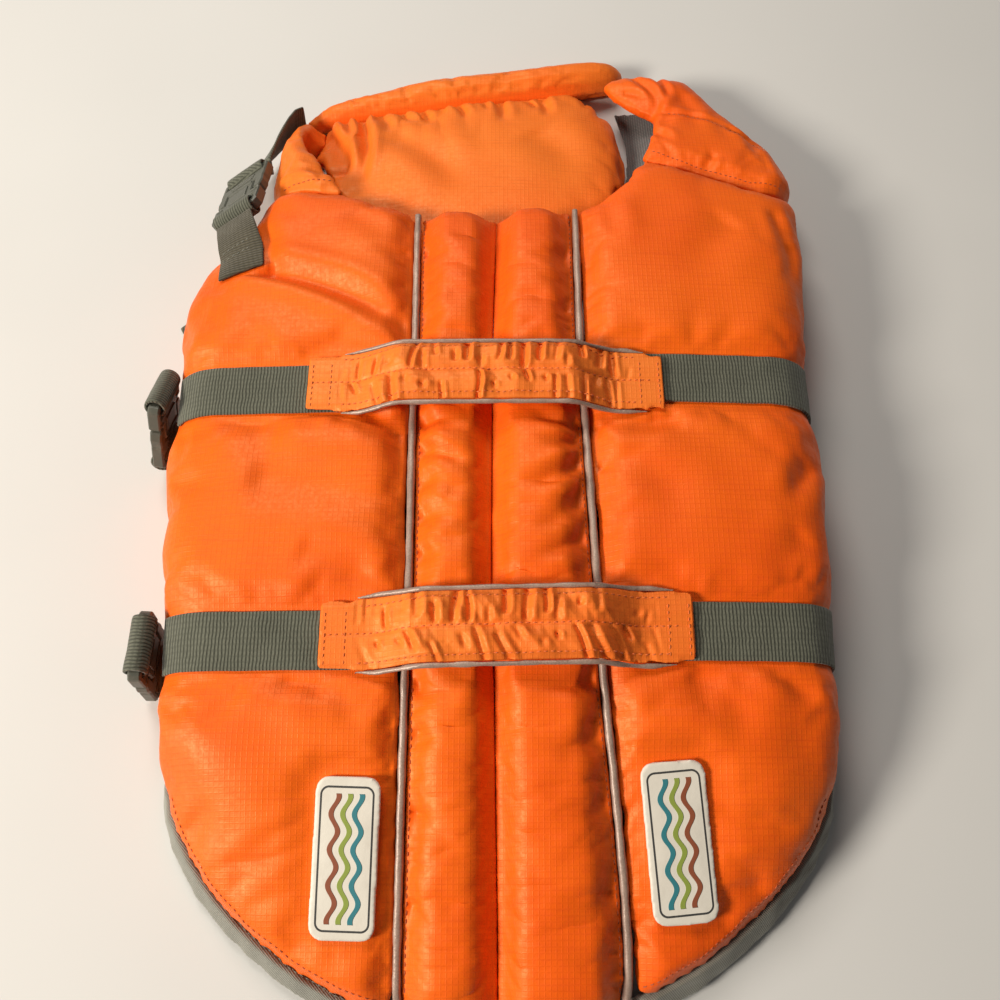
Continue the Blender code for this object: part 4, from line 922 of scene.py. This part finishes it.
# %% Make one padded piece
def padded_cloth(name, grain, fill, slack, stiff, reach, crown, seed):
    piece = even_copy(name, grain)
    around = neighbours_of(name)
    points = points_of(piece.data)
    near = distances(around, points) / MM
    points = back_to_solid(name, points, 1 - smooth(near, *ON_SOLID))
    put_points(piece.data, points)
    press_out(piece, 1 - smooth(near, *SEWN), slack, stiff, reach)
    refine(piece)
    points, normals = points_of(piece.data), normals_of(piece.data)
    near = distances(around, points) / MM
    shaped = crease(points, normals, CREASES.get(name, []))
    if name in GATHERED:
        sink = gathers(points, *GATHERED[name], seed) * smooth(normals[:, 2], *TOP_SIDE)
        shaped -= normals * sink[:, None]
    seamside = hump((near - SEAMSIDE) / SEAMSIDE_WIDTH)
    lift = SLOW_HEIGHT * wander(points, SLOW_WAVE, seed)
    lift += QUICK_HEIGHT * wander(points, QUICK_WAVE, seed + 1) * seamside
    lift += crown * smooth(near, *CROWNED) * smooth(normals[:, 2], *WELL_UP)
    shaped += normals * (lift * MM)[:, None]
    points = points + (shaped - points) * smooth(near, *CREASED)[:, None]
    points = back_to_solid(name, points, 1 - smooth(near, *LAID_BACK))
    if name in SWELL:
        facing, widest = SWELL[name]
        faced = PADDED[facing].data if facing in PADDED else frame["nodes"][facing].data
        closed = close_up(points.copy(), normals, tree_of(faced), widest)
        points += spread(closed - points, piece.data)
    points[:, 2] = np.maximum(points[:, 2], 0.0)
    put_points(piece.data, points)
    finish_cloth(piece, name, LIT_ORANGE if name in LIT_PIECES else ORANGE)
    print(piece.name, len(piece.data.polygons), "faces")
    return piece


print("padded cloth can be sewn")

# %% [markdown]
# No two kinds of piece feel alike. The side panels are wide flat foam in stiff cloth, the channels
# stand up as rolls, the float is fat and soft, and the wings and the band are thin and limp. One
# setting for all would make them look cast in one mould, so each has a row of its own.

# %% Sew the padded pieces
# grain in mm, fill, slack, stiffness, reach in mm and crown in mm of each piece
CUSHIONS = {
    "side_panel_left": (3.4, 0.6, 0.02, 2.0, 2.0, 2.0),
    "side_panel_right": (3.4, 0.6, 0.02, 2.0, 2.0, 2.0),
    "spine_channel_left": (2.4, 0.7, 0.02, 1.0, 2.4, 4.2),
    "spine_channel_right": (2.4, 0.7, 0.02, 1.0, 2.4, 4.2),
    "shoulder_wing_left": (2.2, 0.5, 0.03, 0.5, 1.2, 0.6),
    "shoulder_wing_right": (2.2, 0.5, 0.03, 0.5, 1.0, 0.4),
    "chin_float": (2.6, 0.75, 0.03, 1.0, 4.0, 4.0),
    "float_band": (2.0, 0.7, 0.03, 0.4, 1.4, 0.3),
}
FIRST_SEED = 11
PADDED = {}
for seed, (name, feel) in enumerate(CUSHIONS.items(), FIRST_SEED):
    PADDED[name] = padded_cloth(name, *feel, seed)
print(len(PADDED), "padded pieces sewn")

# %% [markdown]
# ## Straps, tape and piping
#
# Webbing is thin and stiff, so it keeps its solid's form. Remade in even faces it would need a
# million of them, or tear into holes where it is thinner than a face is wide. So its own faces
# are cut short, its edges are rounded, and its selvedges waver by a fraction of a millimetre, as
# a woven edge does. Binding and piping are folded softer, and they are remade in small even
# faces.


# %% Cut a strap
LONGEST_FACE = 6.0  # mm
SELVEDGE = 0.35  # mm, the radius of a strap's edge
SELVEDGE_ANGLE = 50  # degrees between two faces, above which their edge is rounded
WAVER_LENGTH = 11.0  # mm


def short_faced_copy(name):
    """The solid's own form with rounded selvedges, cut into short faces."""
    piece = bpy.data.objects.new(f"{name}_cloth", frame["nodes"][name].data.copy())
    bpy.context.scene.collection.objects.link(piece)
    work = bmesh.new()
    work.from_mesh(piece.data)
    bmesh.ops.remove_doubles(work, verts=work.verts, dist=0.001 * MM)
    bmesh.ops.join_triangles(
        work, faces=work.faces, angle_face_threshold=0.5, angle_shape_threshold=1.3
    )
    while far := [side for side in work.edges if side.calc_length() > LONGEST_FACE * MM]:
        bmesh.ops.subdivide_edges(work, edges=far, cuts=1, use_grid_fill=True)
    work.to_mesh(piece.data)
    work.free()
    rounding = piece.modifiers.new("selvedge", "BEVEL")
    rounding.width = SELVEDGE * MM
    rounding.angle_limit = math.radians(SELVEDGE_ANGLE)
    refine(piece)
    return piece


def tape(name, grain, material, waver=0.12):
    """A strap where no grain is given, and otherwise a strip remade in even faces."""
    piece = even_copy(name, grain, ease_steps=2) if grain else short_faced_copy(name)
    points, normals = points_of(piece.data), normals_of(piece.data)
    points += normals * (waver * MM * wander(points, WAVER_LENGTH, len(name)))[:, None]
    points[:, 2] = np.maximum(points[:, 2], 0.0)
    put_points(piece.data, points)
    return finish_cloth(piece, name, material)


print("a strap is cut into faces up to", LONGEST_FACE, "mm long")

# %% [markdown]
# Each length of webbing is a flat strip before it is sewn, so its width and length are written
# down beside how it is held and what it rests on. Straps that lie askew need ribs that run askew.
# The direction could be typed in for each of them, but the strap's own solid knows it: its points
# spread furthest along its travel.


# %% Lay the webbing
# The neck tab's webbing is browner and darker than the straps: the brown is its own, and the
# darkness is painted shade, since the tab slopes down the shoulder, away from the light.
SHADED_TAB_LIGHT, SHADED_TAB_DARK = (0.13, 0.115, 0.078, 1.0), (0.02, 0.018, 0.01, 1.0)
ASKEW = ("neck_", "strap_", "loop_")  # how the names of these straps start


def turned_webbing(name, node, light, dark):
    """Webbing whose ribs follow a strap that lies askew, read from the strap's own solid."""
    points = points_of(frame["nodes"][node].data)
    middle = points - points.mean(0)
    _, _, ways = np.linalg.svd(middle, full_matrices=False)
    return webbing(name, tuple(ways[0]), tuple(ways[2]), tuple(ways[1]), light, dark)


# width and length of each piece of webbing before it was sewn, how it lies and on what
CUTS = {
    "webbing_upper_left": (25.4, 93.0, "laid", ["side_panel_left"]),
    "webbing_upper_right": (25.4, 201.0, "laid", ["side_panel_right"]),
    "webbing_lower_left": (25.4, 97.0, "laid", ["side_panel_left"]),
    "webbing_lower_right": (25.4, 157.0, "laid", ["side_panel_right"]),
    "belly_strap_upper": (25.4, 272.0, "folded", ["side_panel_left", "side_panel_right"]),
    "belly_strap_lower": (25.4, 295.0, "folded", ["side_panel_left", "side_panel_right"]),
    "neck_strap": (25.4, 87.0, "folded", ["float_band"]),
    "neck_tab": (20.0, 53.0, "folded", ["side_panel_left"]),
    "strap_end": (25.4, 30.0, "laid", []),
    "loop_neck": (16.0, 44.0, "folded", ["buckle_neck_socket"]),
    "loop_upper": (16.0, 44.0, "folded", ["buckle_upper_socket"]),
    "loop_lower": (16.0, 44.0, "folded", ["buckle_lower_socket"]),
}
for name, (wide, long, held, rests_on) in CUTS.items():
    tones = (SHADED_TAB_LIGHT, SHADED_TAB_DARK) if name == "neck_tab" else (GREY_LIGHT, GREY_DARK)
    weave = turned_webbing(f"webbing_{name}", name, *tones) if name.startswith(ASKEW) else WEBBING
    strap = tape(name, None, weave)
print(len(CUTS), "lengths of webbing laid")

# %% [markdown]
# The binding is folded round the hem and sewn through, which makes it waver more than a strap
# does. The neck's lining shows as a narrow triangle, and it has to go on under the wing beyond
# what its solid does, or the floor would show between the two.


# %% Bind the hem and line the neck
for name in ("hem_binding_left", "hem_binding_right"):
    tape(name, 1.2, BINDING, waver=0.3)


def run_under(piece, start=205.0, more=14.0, aside=5.0, down=1.8):
    """Draws the lining's top end on under the wing, from start on along y, all in millimetres."""
    points = points_of(piece.data)
    share = np.clip((points[:, 1] / MM - start) / (points[:, 1].max() / MM - start), 0, 1)
    points[:, 0] -= share * aside * smooth(-points[:, 0] / MM, -100.0, -84.0) * MM
    points[:, 1] += share * more * MM
    points[:, 2] -= share * down * MM
    put_points(piece.data, points)


lining = tape("neck_lining", 0.8, LINING)
run_under(lining)
print("hem bound and neck lined")

# %% [markdown]
# Piping is sewn into a seam and has no end that shows. On the spine it runs on under the webbing.
# On a handle it runs in under the sewn edge, so both its ends are thinned toward the handle.


# %% Sew the piping in
INWARD = {"front": -1, "rear": 1}  # which way along y the handle lies from each of its pipings
for name in ("piping_left", "piping_right"):
    tape(name, 0.8, PIPING, waver=0.2)


def tuck_ends(piece, inward, long=11.0, narrowed=0.8, flattened=0.7):
    """Thins a handle's piping toward both ends, over a length in millimetres."""
    points = points_of(piece.data)
    x = points[:, 0] / MM
    for at in np.unique(np.round(x)):
        ring = np.round(x) == at
        thin = 1 - smooth(min(at - x.min(), x.max() - at), -2.0, long)
        inner = points[ring, 1].max() if inward > 0 else points[ring, 1].min()
        points[ring, 1] += (inner - points[ring, 1]) * thin * narrowed
        points[ring, 2] += (points[ring, 2].min() - points[ring, 2]) * thin * flattened
    put_points(piece.data, points)


for handle in ("handle_upper", "handle_lower"):
    for edge, inward in INWARD.items():
        name = f"{handle}_piping_{edge}"
        tuck_ends(tape(name, 0.7, PIPING, waver=0.2), inward)
print("piping sewn in")

# %% [markdown]
# ## Grab handles
#
# A handle is a tube of ripstop drawn over webbing and sewn down at both ends, and neither of the
# two lies quite square to the spine. Their places could be read from their solids, but the rows
# of stitches need them too, so four numbers state where a handle lies, for both.

# %% List the handles
# in millimetres: left end, right end, y at each end; then the lean of the ruffles
HANDLES = {
    "handle_upper": (-83.5, 84.5, 13.6, 14.6, 0.15),
    "handle_lower": (-69.5, 90.5, -107.0, -103.0, 0.35),
}
print("handles are", [round(right - left) for left, right, *_ in HANDLES.values()], "mm long")

# %% [markdown]
# The tube is too long for its webbing, on purpose, so it ruffles between the seam down its middle
# and the piping at its edges. The ruffles lean, and no two are alike. Cloth could be simulated
# here too, but it would need very small faces, and it would ruffle as it likes. Sums of humps
# give the ruffles their lean, their length and their spacing.


# %% Ruffle a handle
SEAM_DEPTH = 0.9  # mm, how deep the seam down the middle sinks
LEAN_OF_FRONT_HALF = 0.06
# from least to most in millimetres: depth, half width, and the gap to the next ruffle
RUFFLE_DEPTH, RUFFLE_WIDTH, RUFFLE_GAP = (1.1, 3.0), (1.0, 1.8), (4.2, 9.6)
# how far from the middle seam a ruffle may start and stop
RUFFLE_STARTS, RUFFLE_STOPS = [0.0, 0.0, 3.0, 6.0], [7.0, 10.0, 16.0, 16.0]
HANDLE_SHARE = 0.8  # what is left of all heights, so that the ruffles stay over the webbing


def ruffles(x, across, left, right, lean, seed):
    """Heights in millimetres at places along and across a handle."""
    draw = np.random.default_rng(seed)
    ends = smooth(x, left + 12, left + 26) * smooth(-x, -right + 12, -right + 26)
    lift = -SEAM_DEPTH * hump(across) * (0.3 + 0.7 * ends)
    for half in (1, -1):
        spot = left + 15.0
        while spot < right - 13.0:
            depth, wide = draw.uniform(*RUFFLE_DEPTH), draw.uniform(*RUFFLE_WIDTH)
            start, stop = draw.choice(RUFFLE_STARTS), draw.choice(RUFFLE_STOPS)
            slant = (lean if half < 0 else LEAN_OF_FRONT_HALF) + draw.uniform(-0.16, 0.16)
            out = across * half
            bend = draw.uniform(-0.9, 0.9) * np.sin(np.clip(out / 13, 0, 1) * math.pi)
            off = (x - spot - slant * out - bend) / wide
            starting = smooth(out, start, start + 2.2)
            stopping = smooth(out, stop - 2.5, stop + 1.5)
            fade = starting * (1 - stopping) * ends
            lift -= depth * fade * hump(off)
            lift += 0.5 * depth * fade * hump(off, 2.0)
            spot += draw.uniform(*RUFFLE_GAP)
    return lift


print("ruffles stand", RUFFLE_GAP, "mm apart")

# %% [markdown]
# The tube itself is the handle's solid in small even faces. It could be cut anew from a flat
# strip, but the solid already climbs over the webbing and the channels. The smoothing draws its
# edges in, so its points go back onto the solid, its edges swell out to the pipings, and the
# ruffles come last, on its top side alone.


# %% Sew the handles
def grab_handle(name, seed):
    left, right, y_left, y_right, lean = HANDLES[name]
    piece = even_copy(name, 1.3, ease_steps=2)
    refine(piece)
    points, normals = points_of(piece.data), normals_of(piece.data)
    points = back_to_solid(name, points, np.ones(len(points)))
    pipings = tree_of(*(frame["nodes"][f"{name}_piping_{edge}"].data for edge in INWARD))
    points = close_up(points, normals, pipings, 4.0, left=0.3)
    x = points[:, 0] / MM
    across = points[:, 1] / MM - np.interp(x, (left, right), (y_left, y_right))
    lift = ruffles(x, across, left, right, lean, seed)
    points[:, 2] += lift * smooth(normals[:, 2], *TOP_SIDE) * HANDLE_SHARE * MM
    put_points(piece.data, points)
    finish_cloth(piece, name, HANDLE_ORANGE)
    print(piece.name, len(piece.data.polygons), "faces")
    return piece


FIRST_HANDLE_SEED = 30
for seed, name in enumerate(HANDLES, FIRST_HANDLE_SEED):
    PADDED[name] = grab_handle(name, seed)

# %% [markdown]
# ## Labels and buckles
#
# The labels are soft rubber patches with a thin dark border, and carry only three wavy lines.
# Lines this fine could be cut from the patch as pieces of their own. In the finish they take one
# sum each: how far a point lies from a rounded rectangle gives the border, and how far it lies
# from a wave gives a line. Both also feed the relief, since the mould raises them. The buckles
# keep their solids, which already have the right shape.


# %% Mould the labels
# in millimetres
STRAIGHT_LONG, STRAIGHT_WIDE = 25.0, 7.6  # half the border's straight length, each way
CORNER = 3.2  # radius of the border's corners
WAVE_LENGTH, WAVE_HEIGHT = 14, 1.5
# how far each wavy line lies to the side, and its colour
BANDS = (
    (-4.8, (0.035, 0.20, 0.24, 1.0)),
    (0.0, (0.26, 0.33, 0.06, 1.0)),
    (4.8, (0.26, 0.075, 0.035, 1.0)),
)


def label_rubber(name, node):
    points = points_of(frame["nodes"][node].data)
    middle = (points.min(0) + points.max(0)) / 2
    _, _, ways = np.linalg.svd(points - points.mean(0), full_matrices=False)
    finish = Finish(name, roughness=0.5, specular_ior_level=0.4)
    from_middle = {0: finish.place(), 1: tuple(middle)}
    place = finish.node("ShaderNodeVectorMath", {"operation": "SUBTRACT"}, from_middle)
    up, side = finish.along(place, tuple(ways[0])), finish.along(place, tuple(ways[1]))
    tall, wide = abs(up) / MM - STRAIGHT_LONG, abs(side) / MM - STRAIGHT_WIDE
    past_tall, past_wide = tall.math("MAXIMUM", 0.0), wide.math("MAXIMUM", 0.0)
    outside = (past_tall * past_tall + past_wide * past_wide).math("SQRT")
    away = outside + tall.math("MAXIMUM", wide).math("MINIMUM", 0.0)
    border = 1 - abs(away - CORNER).step(0.28, 0.5)
    inside = 1 - away.step(0.4, 0.7)
    wave = (up / (WAVE_LENGTH * MM) * (2 * math.pi)).math("SINE") * WAVE_HEIGHT
    grime = finish.cloud(120.0, 3.0).step(0.4, 0.8)
    colour = finish.mix(grime * 0.35, (0.74, 0.70, 0.62, 1.0), (0.58, 0.53, 0.45, 1.0))
    relief = border
    for offset, tint in BANDS:
        band = (1 - abs(side / MM - wave - offset).step(1.0, 1.25)) * inside
        colour = finish.mix(band, colour, tint)
        relief = relief + band
    colour = finish.mix(border, colour, (0.05, 0.05, 0.05, 1.0))
    finish.feed("Base Color", colour)
    finish.relief(relief * 0.3 + finish.cloud(600.0, 2.0) * 0.05)
    return finish.material


for name in ("label_left", "label_right"):
    patch = even_copy(name, 0.8, ease_steps=3)
    finish_cloth(patch, name, label_rubber(f"rubber_{name}", name))
for name, node in frame["nodes"].items():
    if name.startswith("buckle_"):
        node.data.materials.clear()
        node.data.materials.append(PLASTIC)
print("labels moulded, buckles finished")

# %% [markdown]
# A side-release buckle has low ribs where the thumb squeezes it, a lip at the socket's mouth and
# a raised field in its middle. They could be placed one by one on each buckle, but all three are
# of one kind. So the fields are listed once, across and along a buckle, and each buckle only says
# where it lies, which way it points and how long it is.

# %% List the buckles and what they carry
# middle of the first bar in mm, direction to the second bar, direction across, and length
# against the usual
BUCKLES = {
    "neck": ((-134.1, 126.0, 41.6), (-0.03, 0.925, -0.375), (0.85, 0.2, 0.49), 1.2),
    "upper": ((-157.1, 16.0, 44.0), (-0.18, -0.38, -0.907), (0.04, 0.92, -0.39), 1.0),
    "lower": ((-149.9, -108.5, 42.0), (-0.13, -0.07, -0.989), (0.0, 1.0, -0.07), 1.0),
}
# in millimetres, how far across and along each raised field lies, its half sizes, its height
RIBS = {
    "socket": [
        (0, 14.2, 6.4, 4.2, 0.5),
        (0, 20.6, 8.4, 0.7, 0.55),
        (-12.4, 9.4, 2.2, 0.5, 0.45),
        (12.4, 9.4, 2.2, 0.5, 0.45),
    ],
    "prong": [(0, 24.6, 7.6, 0.45, 0.5), (0, 26.1, 8.2, 0.45, 0.5), (0, 27.6, 8.8, 0.45, 0.5)],
}
print(len(BUCKLES), "buckles with", sum(len(rows) for rows in RIBS.values()), "fields on a face")

# %% [markdown]
# The fields are half a millimetre high, and both faces carry them, since the mould has two halves.
# They could be cut into the solid, but small boxes with tapered sides look the same, and a ray
# that is sent at the buckle's face finds where each one sits.

# %% Add the moulded ribs
ROOT, TAPER = -0.4, 0.35  # mm, how deep a field's foot sits and how much narrower its top is
OUTSIDE = 0.02  # m, from where the ray is sent
CORNERS = ((-1, -1), (1, -1), (1, 1), (-1, 1))
BOX_SIDES = [(0, 1, 5, 4), (1, 2, 6, 5), (2, 3, 7, 6), (3, 0, 4, 7), (4, 5, 6, 7), (3, 2, 1, 0)]


def moulded_ribs(name, part):
    """Adds the raised fields of one half of a buckle, and tells how many they are."""
    bar, along, across, stretch = (np.array(row, float) for row in BUCKLES[name])
    along /= np.linalg.norm(along)
    across -= along * (across @ along)
    across /= np.linalg.norm(across)
    up = np.cross(across, along)
    solid = tree_of(frame["nodes"][f"buckle_{name}_{part}"].data)
    points, faces = [], []
    for face in (1, -1):
        for aside, run, wide, long, high in RIBS[part]:
            middle = (bar + across * aside + along * run * stretch) * MM
            above = Vector(middle + up * face * OUTSIDE)
            found = solid.ray_cast(above, Vector(up * -face), 2 * OUTSIDE)[0]
            if found is None:
                continue
            first = len(points)
            for level, shrink in ((ROOT, 0.0), (high, TAPER)):
                half_long = long * stretch - min(shrink, long * 0.5)
                for i, j in CORNERS:
                    out = across * i * (wide - shrink) + along * j * half_long
                    points.append(np.array(found) + (out + up * face * level) * MM)
            for side in BOX_SIDES:
                faces.append(tuple(first + k for k in (side if face > 0 else side[::-1])))
    mesh = bpy.data.meshes.new(f"ribs_{name}_{part}")
    mesh.from_pydata([tuple(p) for p in points], [], faces)
    mesh.materials.append(PLASTIC)
    ribs = bpy.data.objects.new(mesh.name, mesh)
    bpy.context.scene.collection.objects.link(ribs)
    rounding = ribs.modifiers.new("soft_edges", "BEVEL")
    rounding.width = 0.15 * MM
    rounding.segments = 2
    settle_modifiers(ribs)
    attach(ribs, "root")
    return len(faces) // len(BOX_SIDES)


raised = sum(moulded_ribs(name, part) for name in BUCKLES for part in RIBS)
print(raised, "raised fields on the buckles")

# %% [markdown]
# ## Stitching
#
# A lockstitch shows as a row of short raised dashes. They could be drawn into the finish, but
# light would not catch on them. So each is a small bead of yarn, thick in the middle and tucked
# in at both ends.


# %% Spin one stitch
BEAD_RING = 5  # corners round the yarn
# place along the stitch, width and lift against the yarn's thickness
BEAD_SHAPE = (
    (0.0, 0.25, -0.5),
    (0.2, 0.9, 0.2),
    (0.5, 1.0, 0.35),
    (0.8, 0.9, 0.2),
    (1.0, 0.25, -0.5),
)


def bead(start, end, up, thick):
    """Points and faces of one stitch from start to end."""
    way = (end - start).normalized()
    side = way.cross(up).normalized()
    points, faces = [], []
    for share, width, lift in BEAD_SHAPE:
        middle = start.lerp(end, share) + up * (thick * lift)
        for k in range(BEAD_RING):
            turn = 2 * math.pi * k / BEAD_RING
            out = side * math.cos(turn) + up * math.sin(turn)
            points.append(middle + out * (thick * width / 2))
    for r in range(len(BEAD_SHAPE) - 1):
        for k in range(BEAD_RING):
            a, b = r * BEAD_RING + k, r * BEAD_RING + (k + 1) % BEAD_RING
            faces.append((a, b, b + BEAD_RING, a + BEAD_RING))
    faces.append(tuple(reversed(range(BEAD_RING))))
    last = (len(BEAD_SHAPE) - 1) * BEAD_RING
    faces.append(tuple(range(last, last + BEAD_RING)))
    return points, faces


print("a stitch has", len(BEAD_SHAPE) * BEAD_RING, "points")

# %% [markdown]
# A row of stitches follows a line drawn from above. Each end of a stitch is dropped onto the
# finished cloth, so the row climbs over the folds that are really there. A needle never lands
# quite even, so each end is a tenth of a millimetre or so off its place.


# %% Drop a row of stitches onto the cloth
UNEVEN_ALONG, UNEVEN_ASIDE = 0.12, 0.1  # mm
LONGEST_STITCH = 1.6  # against the pitch: a longer one would bridge a gap, so it is left out
ABOVE, DOWN = 0.2, Vector((0, 0, -1))


def stitch_row(name, path, cloth, material, pitch=3.2, gap=0.9, thick=0.55, seed=1):
    """Sews along a line of x, y points in millimetres, and tells how many stitches it took."""
    draw = np.random.default_rng(seed)
    path = np.array(path, float)
    run = np.concatenate([[0], np.cumsum(np.linalg.norm(np.diff(path, axis=0), axis=1))])
    points, faces = [], []
    for at in np.arange(0.4, run[-1] - pitch, pitch):
        spots = []
        for end in (at, at + pitch - gap):
            end += draw.uniform(-UNEVEN_ALONG, UNEVEN_ALONG)
            x, y = (np.interp(end, run, path[:, i]) for i in (0, 1))
            x += draw.uniform(-UNEVEN_ASIDE, UNEVEN_ASIDE)
            y += draw.uniform(-UNEVEN_ASIDE, UNEVEN_ASIDE)
            spots.append(cloth.ray_cast(Vector((x * MM, y * MM, ABOVE)), DOWN)[:2])
        (first, first_up), (last, last_up) = spots
        if first is None or last is None or (first - last).length > pitch * LONGEST_STITCH * MM:
            continue
        more, sides = bead(first, last, (first_up + last_up).normalized(), thick * MM)
        faces += [tuple(len(points) + i for i in side) for side in sides]
        points += more
    mesh = bpy.data.meshes.new(name)
    mesh.from_pydata(points, [], faces)
    mesh.materials.append(material)
    mesh.polygons.foreach_set("use_smooth", [True] * len(mesh.polygons))
    row = bpy.data.objects.new(name, mesh)
    bpy.context.scene.collection.objects.link(row)
    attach(row, "root")
    return len(points) // (len(BEAD_SHAPE) * BEAD_RING)


def on(*names):
    return tree_of(*(bpy.data.objects[f"{name}_cloth"].data for name in names))


print("stitches can be dropped onto any cloth")

# %% [markdown]
# The channels are sewn down beside their piping. Their rows are read from the piping's own solid,
# so they follow its lean, and they stop where the webbing and the handles cross.


# %% Stitch the channels
# first and last y in millimetres of each stretch between the handles
STRETCHES = {"tail": (-246, -122), "waist": (-90, -2), "neck": (31, 130)}
BESIDE_PIPING = 3.4  # mm


def spine_line(node, low, high, offset, step=6.0):
    """The middle of a narrow strip that runs along the jacket, moved sideways."""
    points = points_of(frame["nodes"][node].data) / MM
    line = []
    for y in np.arange(low, high, step):
        near = points[np.abs(points[:, 1] - y) < SAME_PLACE]
        if len(near):
            line.append((near[:, 0].mean() + offset, y))
    return line


count = 0
for word, side in (("left", 1), ("right", -1)):
    cloth = on(f"spine_channel_{word}", f"side_panel_{word}")
    for part, (low, high) in STRETCHES.items():
        line = spine_line(f"piping_{word}", low, high, side * BESIDE_PIPING)
        name = f"stitches_channel_{word}_{part}"
        count += stitch_row(name, line, cloth, PAINTED_SHADE_THREAD, seed=low + 300)
print(count, "stitches along the channels")

# %% [markdown]
# A grab handle carries a dog's weight, so it is sewn the most: along its middle, along both
# edges, and twice square to each end.


# %% Stitch the handles
def handle_lines(left, right, y_left, y_right):
    def y_at(x):
        return float(np.interp(x, (left, right), (y_left, y_right)))

    lines = {
        "middle": [(left + 3, y_at(left)), (right - 3, y_at(right))],
        "front": [(left + 16, y_at(left) + 12.0), (right - 10, y_at(right) + 12.0)],
        "rear": [(left + 16, y_at(left) - 12.0), (right - 10, y_at(right) - 12.0)],
    }
    ends = {"left": left + 2.2, "left_inner": left + 11}
    ends |= {"right": right - 2.2, "right_inner": right - 11}
    for word, x in ends.items():
        lines[word] = [(x, y_at(x) - 13.2), (x, y_at(x) + 13.2)]
    return lines


count = 0
for name, (*corners, _) in HANDLES.items():
    cloth = on(name)
    for word, line in handle_lines(*corners).items():
        row_name = f"stitches_{name}_{word}"
        count += stitch_row(row_name, line, cloth, ORANGE_THREAD, 2.9, seed=len(word))
print(count, "stitches on the handles")

# %% [markdown]
# The wings and the neck tab have short rows of their own, each a few points placed one by one.

# %% Stitch the wings and the tab
# x, y points in millimetres
WING_FOOT = [(92, 172), (117, 160), (144, 148.5), (165, 147)]
WING_TOP = [(104, 206), (124, 198), (144, 190), (160, 172)]
LEFT_WING_FOOT = [(-112, 146), (-96, 147.5), (-80, 148)]
# name of the row, the piece it is sewn on, its thread, and its line
SEAMS = [
    ("wing_right_seam", "shoulder_wing_right", PAINTED_SHADE_THREAD, WING_FOOT),
    ("wing_right_top", "shoulder_wing_right", PAINTED_SHADE_THREAD, WING_TOP),
    ("wing_left_seam", "shoulder_wing_left", PAINTED_SHADE_THREAD, LEFT_WING_FOOT),
    ("tab_end", "neck_tab", GREY_THREAD, [(-135, 88), (-120, 96.5)]),
    ("tab_inner", "neck_tab", GREY_THREAD, [(-136, 93.5), (-120.5, 102)]),
]
count = 0
for word, name, yarn, line in SEAMS:
    count += stitch_row(f"stitches_{word}", line, on(name), yarn, 2.8, thick=0.5, seed=len(word))
print(count, "stitches on the wings and the tab")

# %% [markdown]
# The hem is sewn twice, through the binding and through the panel beside it. Both rows run round
# the tail, so they are found by turning round its middle and reading how far out the binding
# starts.


# %% Stitch the hem
TAIL_MIDDLE = (7.0, -120.0)  # mm
ON_BINDING, ON_PANEL = 2.2, -2.4  # mm outward from the binding's inner edge
# first and last angle in degrees of each side's rows
HEM_TURNS = {"left": (200, 268), "right": (340, 272)}


def hem_line(node, first, last, outward):
    """A line beside the tape's inner edge, from one angle round the tail to another."""
    points = points_of(frame["nodes"][node].data)[:, :2] / MM - TAIL_MIDDLE
    turn = np.degrees(np.arctan2(points[:, 1], points[:, 0])) % 360
    far = np.linalg.norm(points, axis=1)
    line = []
    for angle in np.arange(first, last, 3.0 if last > first else -3.0):
        near = np.abs(turn - angle) < 2.5
        if near.any():
            out = far[near].min() + outward
            x, y = out * math.cos(math.radians(angle)), out * math.sin(math.radians(angle))
            line.append((TAIL_MIDDLE[0] + x, TAIL_MIDDLE[1] + y))
    return line


count = 0
for word, (first, last) in HEM_TURNS.items():
    tape_name, panel = f"hem_binding_{word}", f"side_panel_{word}"
    line = hem_line(tape_name, first, last, ON_BINDING)
    row_name = f"stitches_hem_{word}"
    count += stitch_row(row_name, line, on(tape_name), GREY_THREAD, 2.8, thick=0.5, seed=7)
    line = hem_line(tape_name, first, last, ON_PANEL)
    row_name = f"stitches_panel_edge_{word}"
    count += stitch_row(row_name, line, on(panel), PAINTED_SHADE_THREAD, 2.8, seed=9)
print(count, "stitches round the hem")

# %% [markdown]
# ## The floor
#
# The jacket rests on a plain pale floor, a stage that isn't part of the object. It lies a hair
# below the jacket, since two faces at one level would flicker through each other.


# %% Lay the floor
def pale_floor(half=4.0, level=-0.0004):
    """Half its width and its level are in metres."""
    mesh = bpy.data.meshes.new("floor")
    corners = [(half * i, half * j, level) for i, j in CORNERS]
    mesh.from_pydata(corners, [], [(0, 1, 2, 3)])
    finish = Finish("pale_floor", roughness=0.8)
    colour = finish.mix(finish.cloud(8.0), (0.64, 0.64, 0.63, 1.0), (0.68, 0.68, 0.67, 1.0))
    finish.feed("Base Color", colour)
    mesh.materials.append(finish.material)
    floor = bpy.data.objects.new("floor", mesh)
    bpy.context.scene.collection.objects.link(floor)


pale_floor()
print("floor laid")
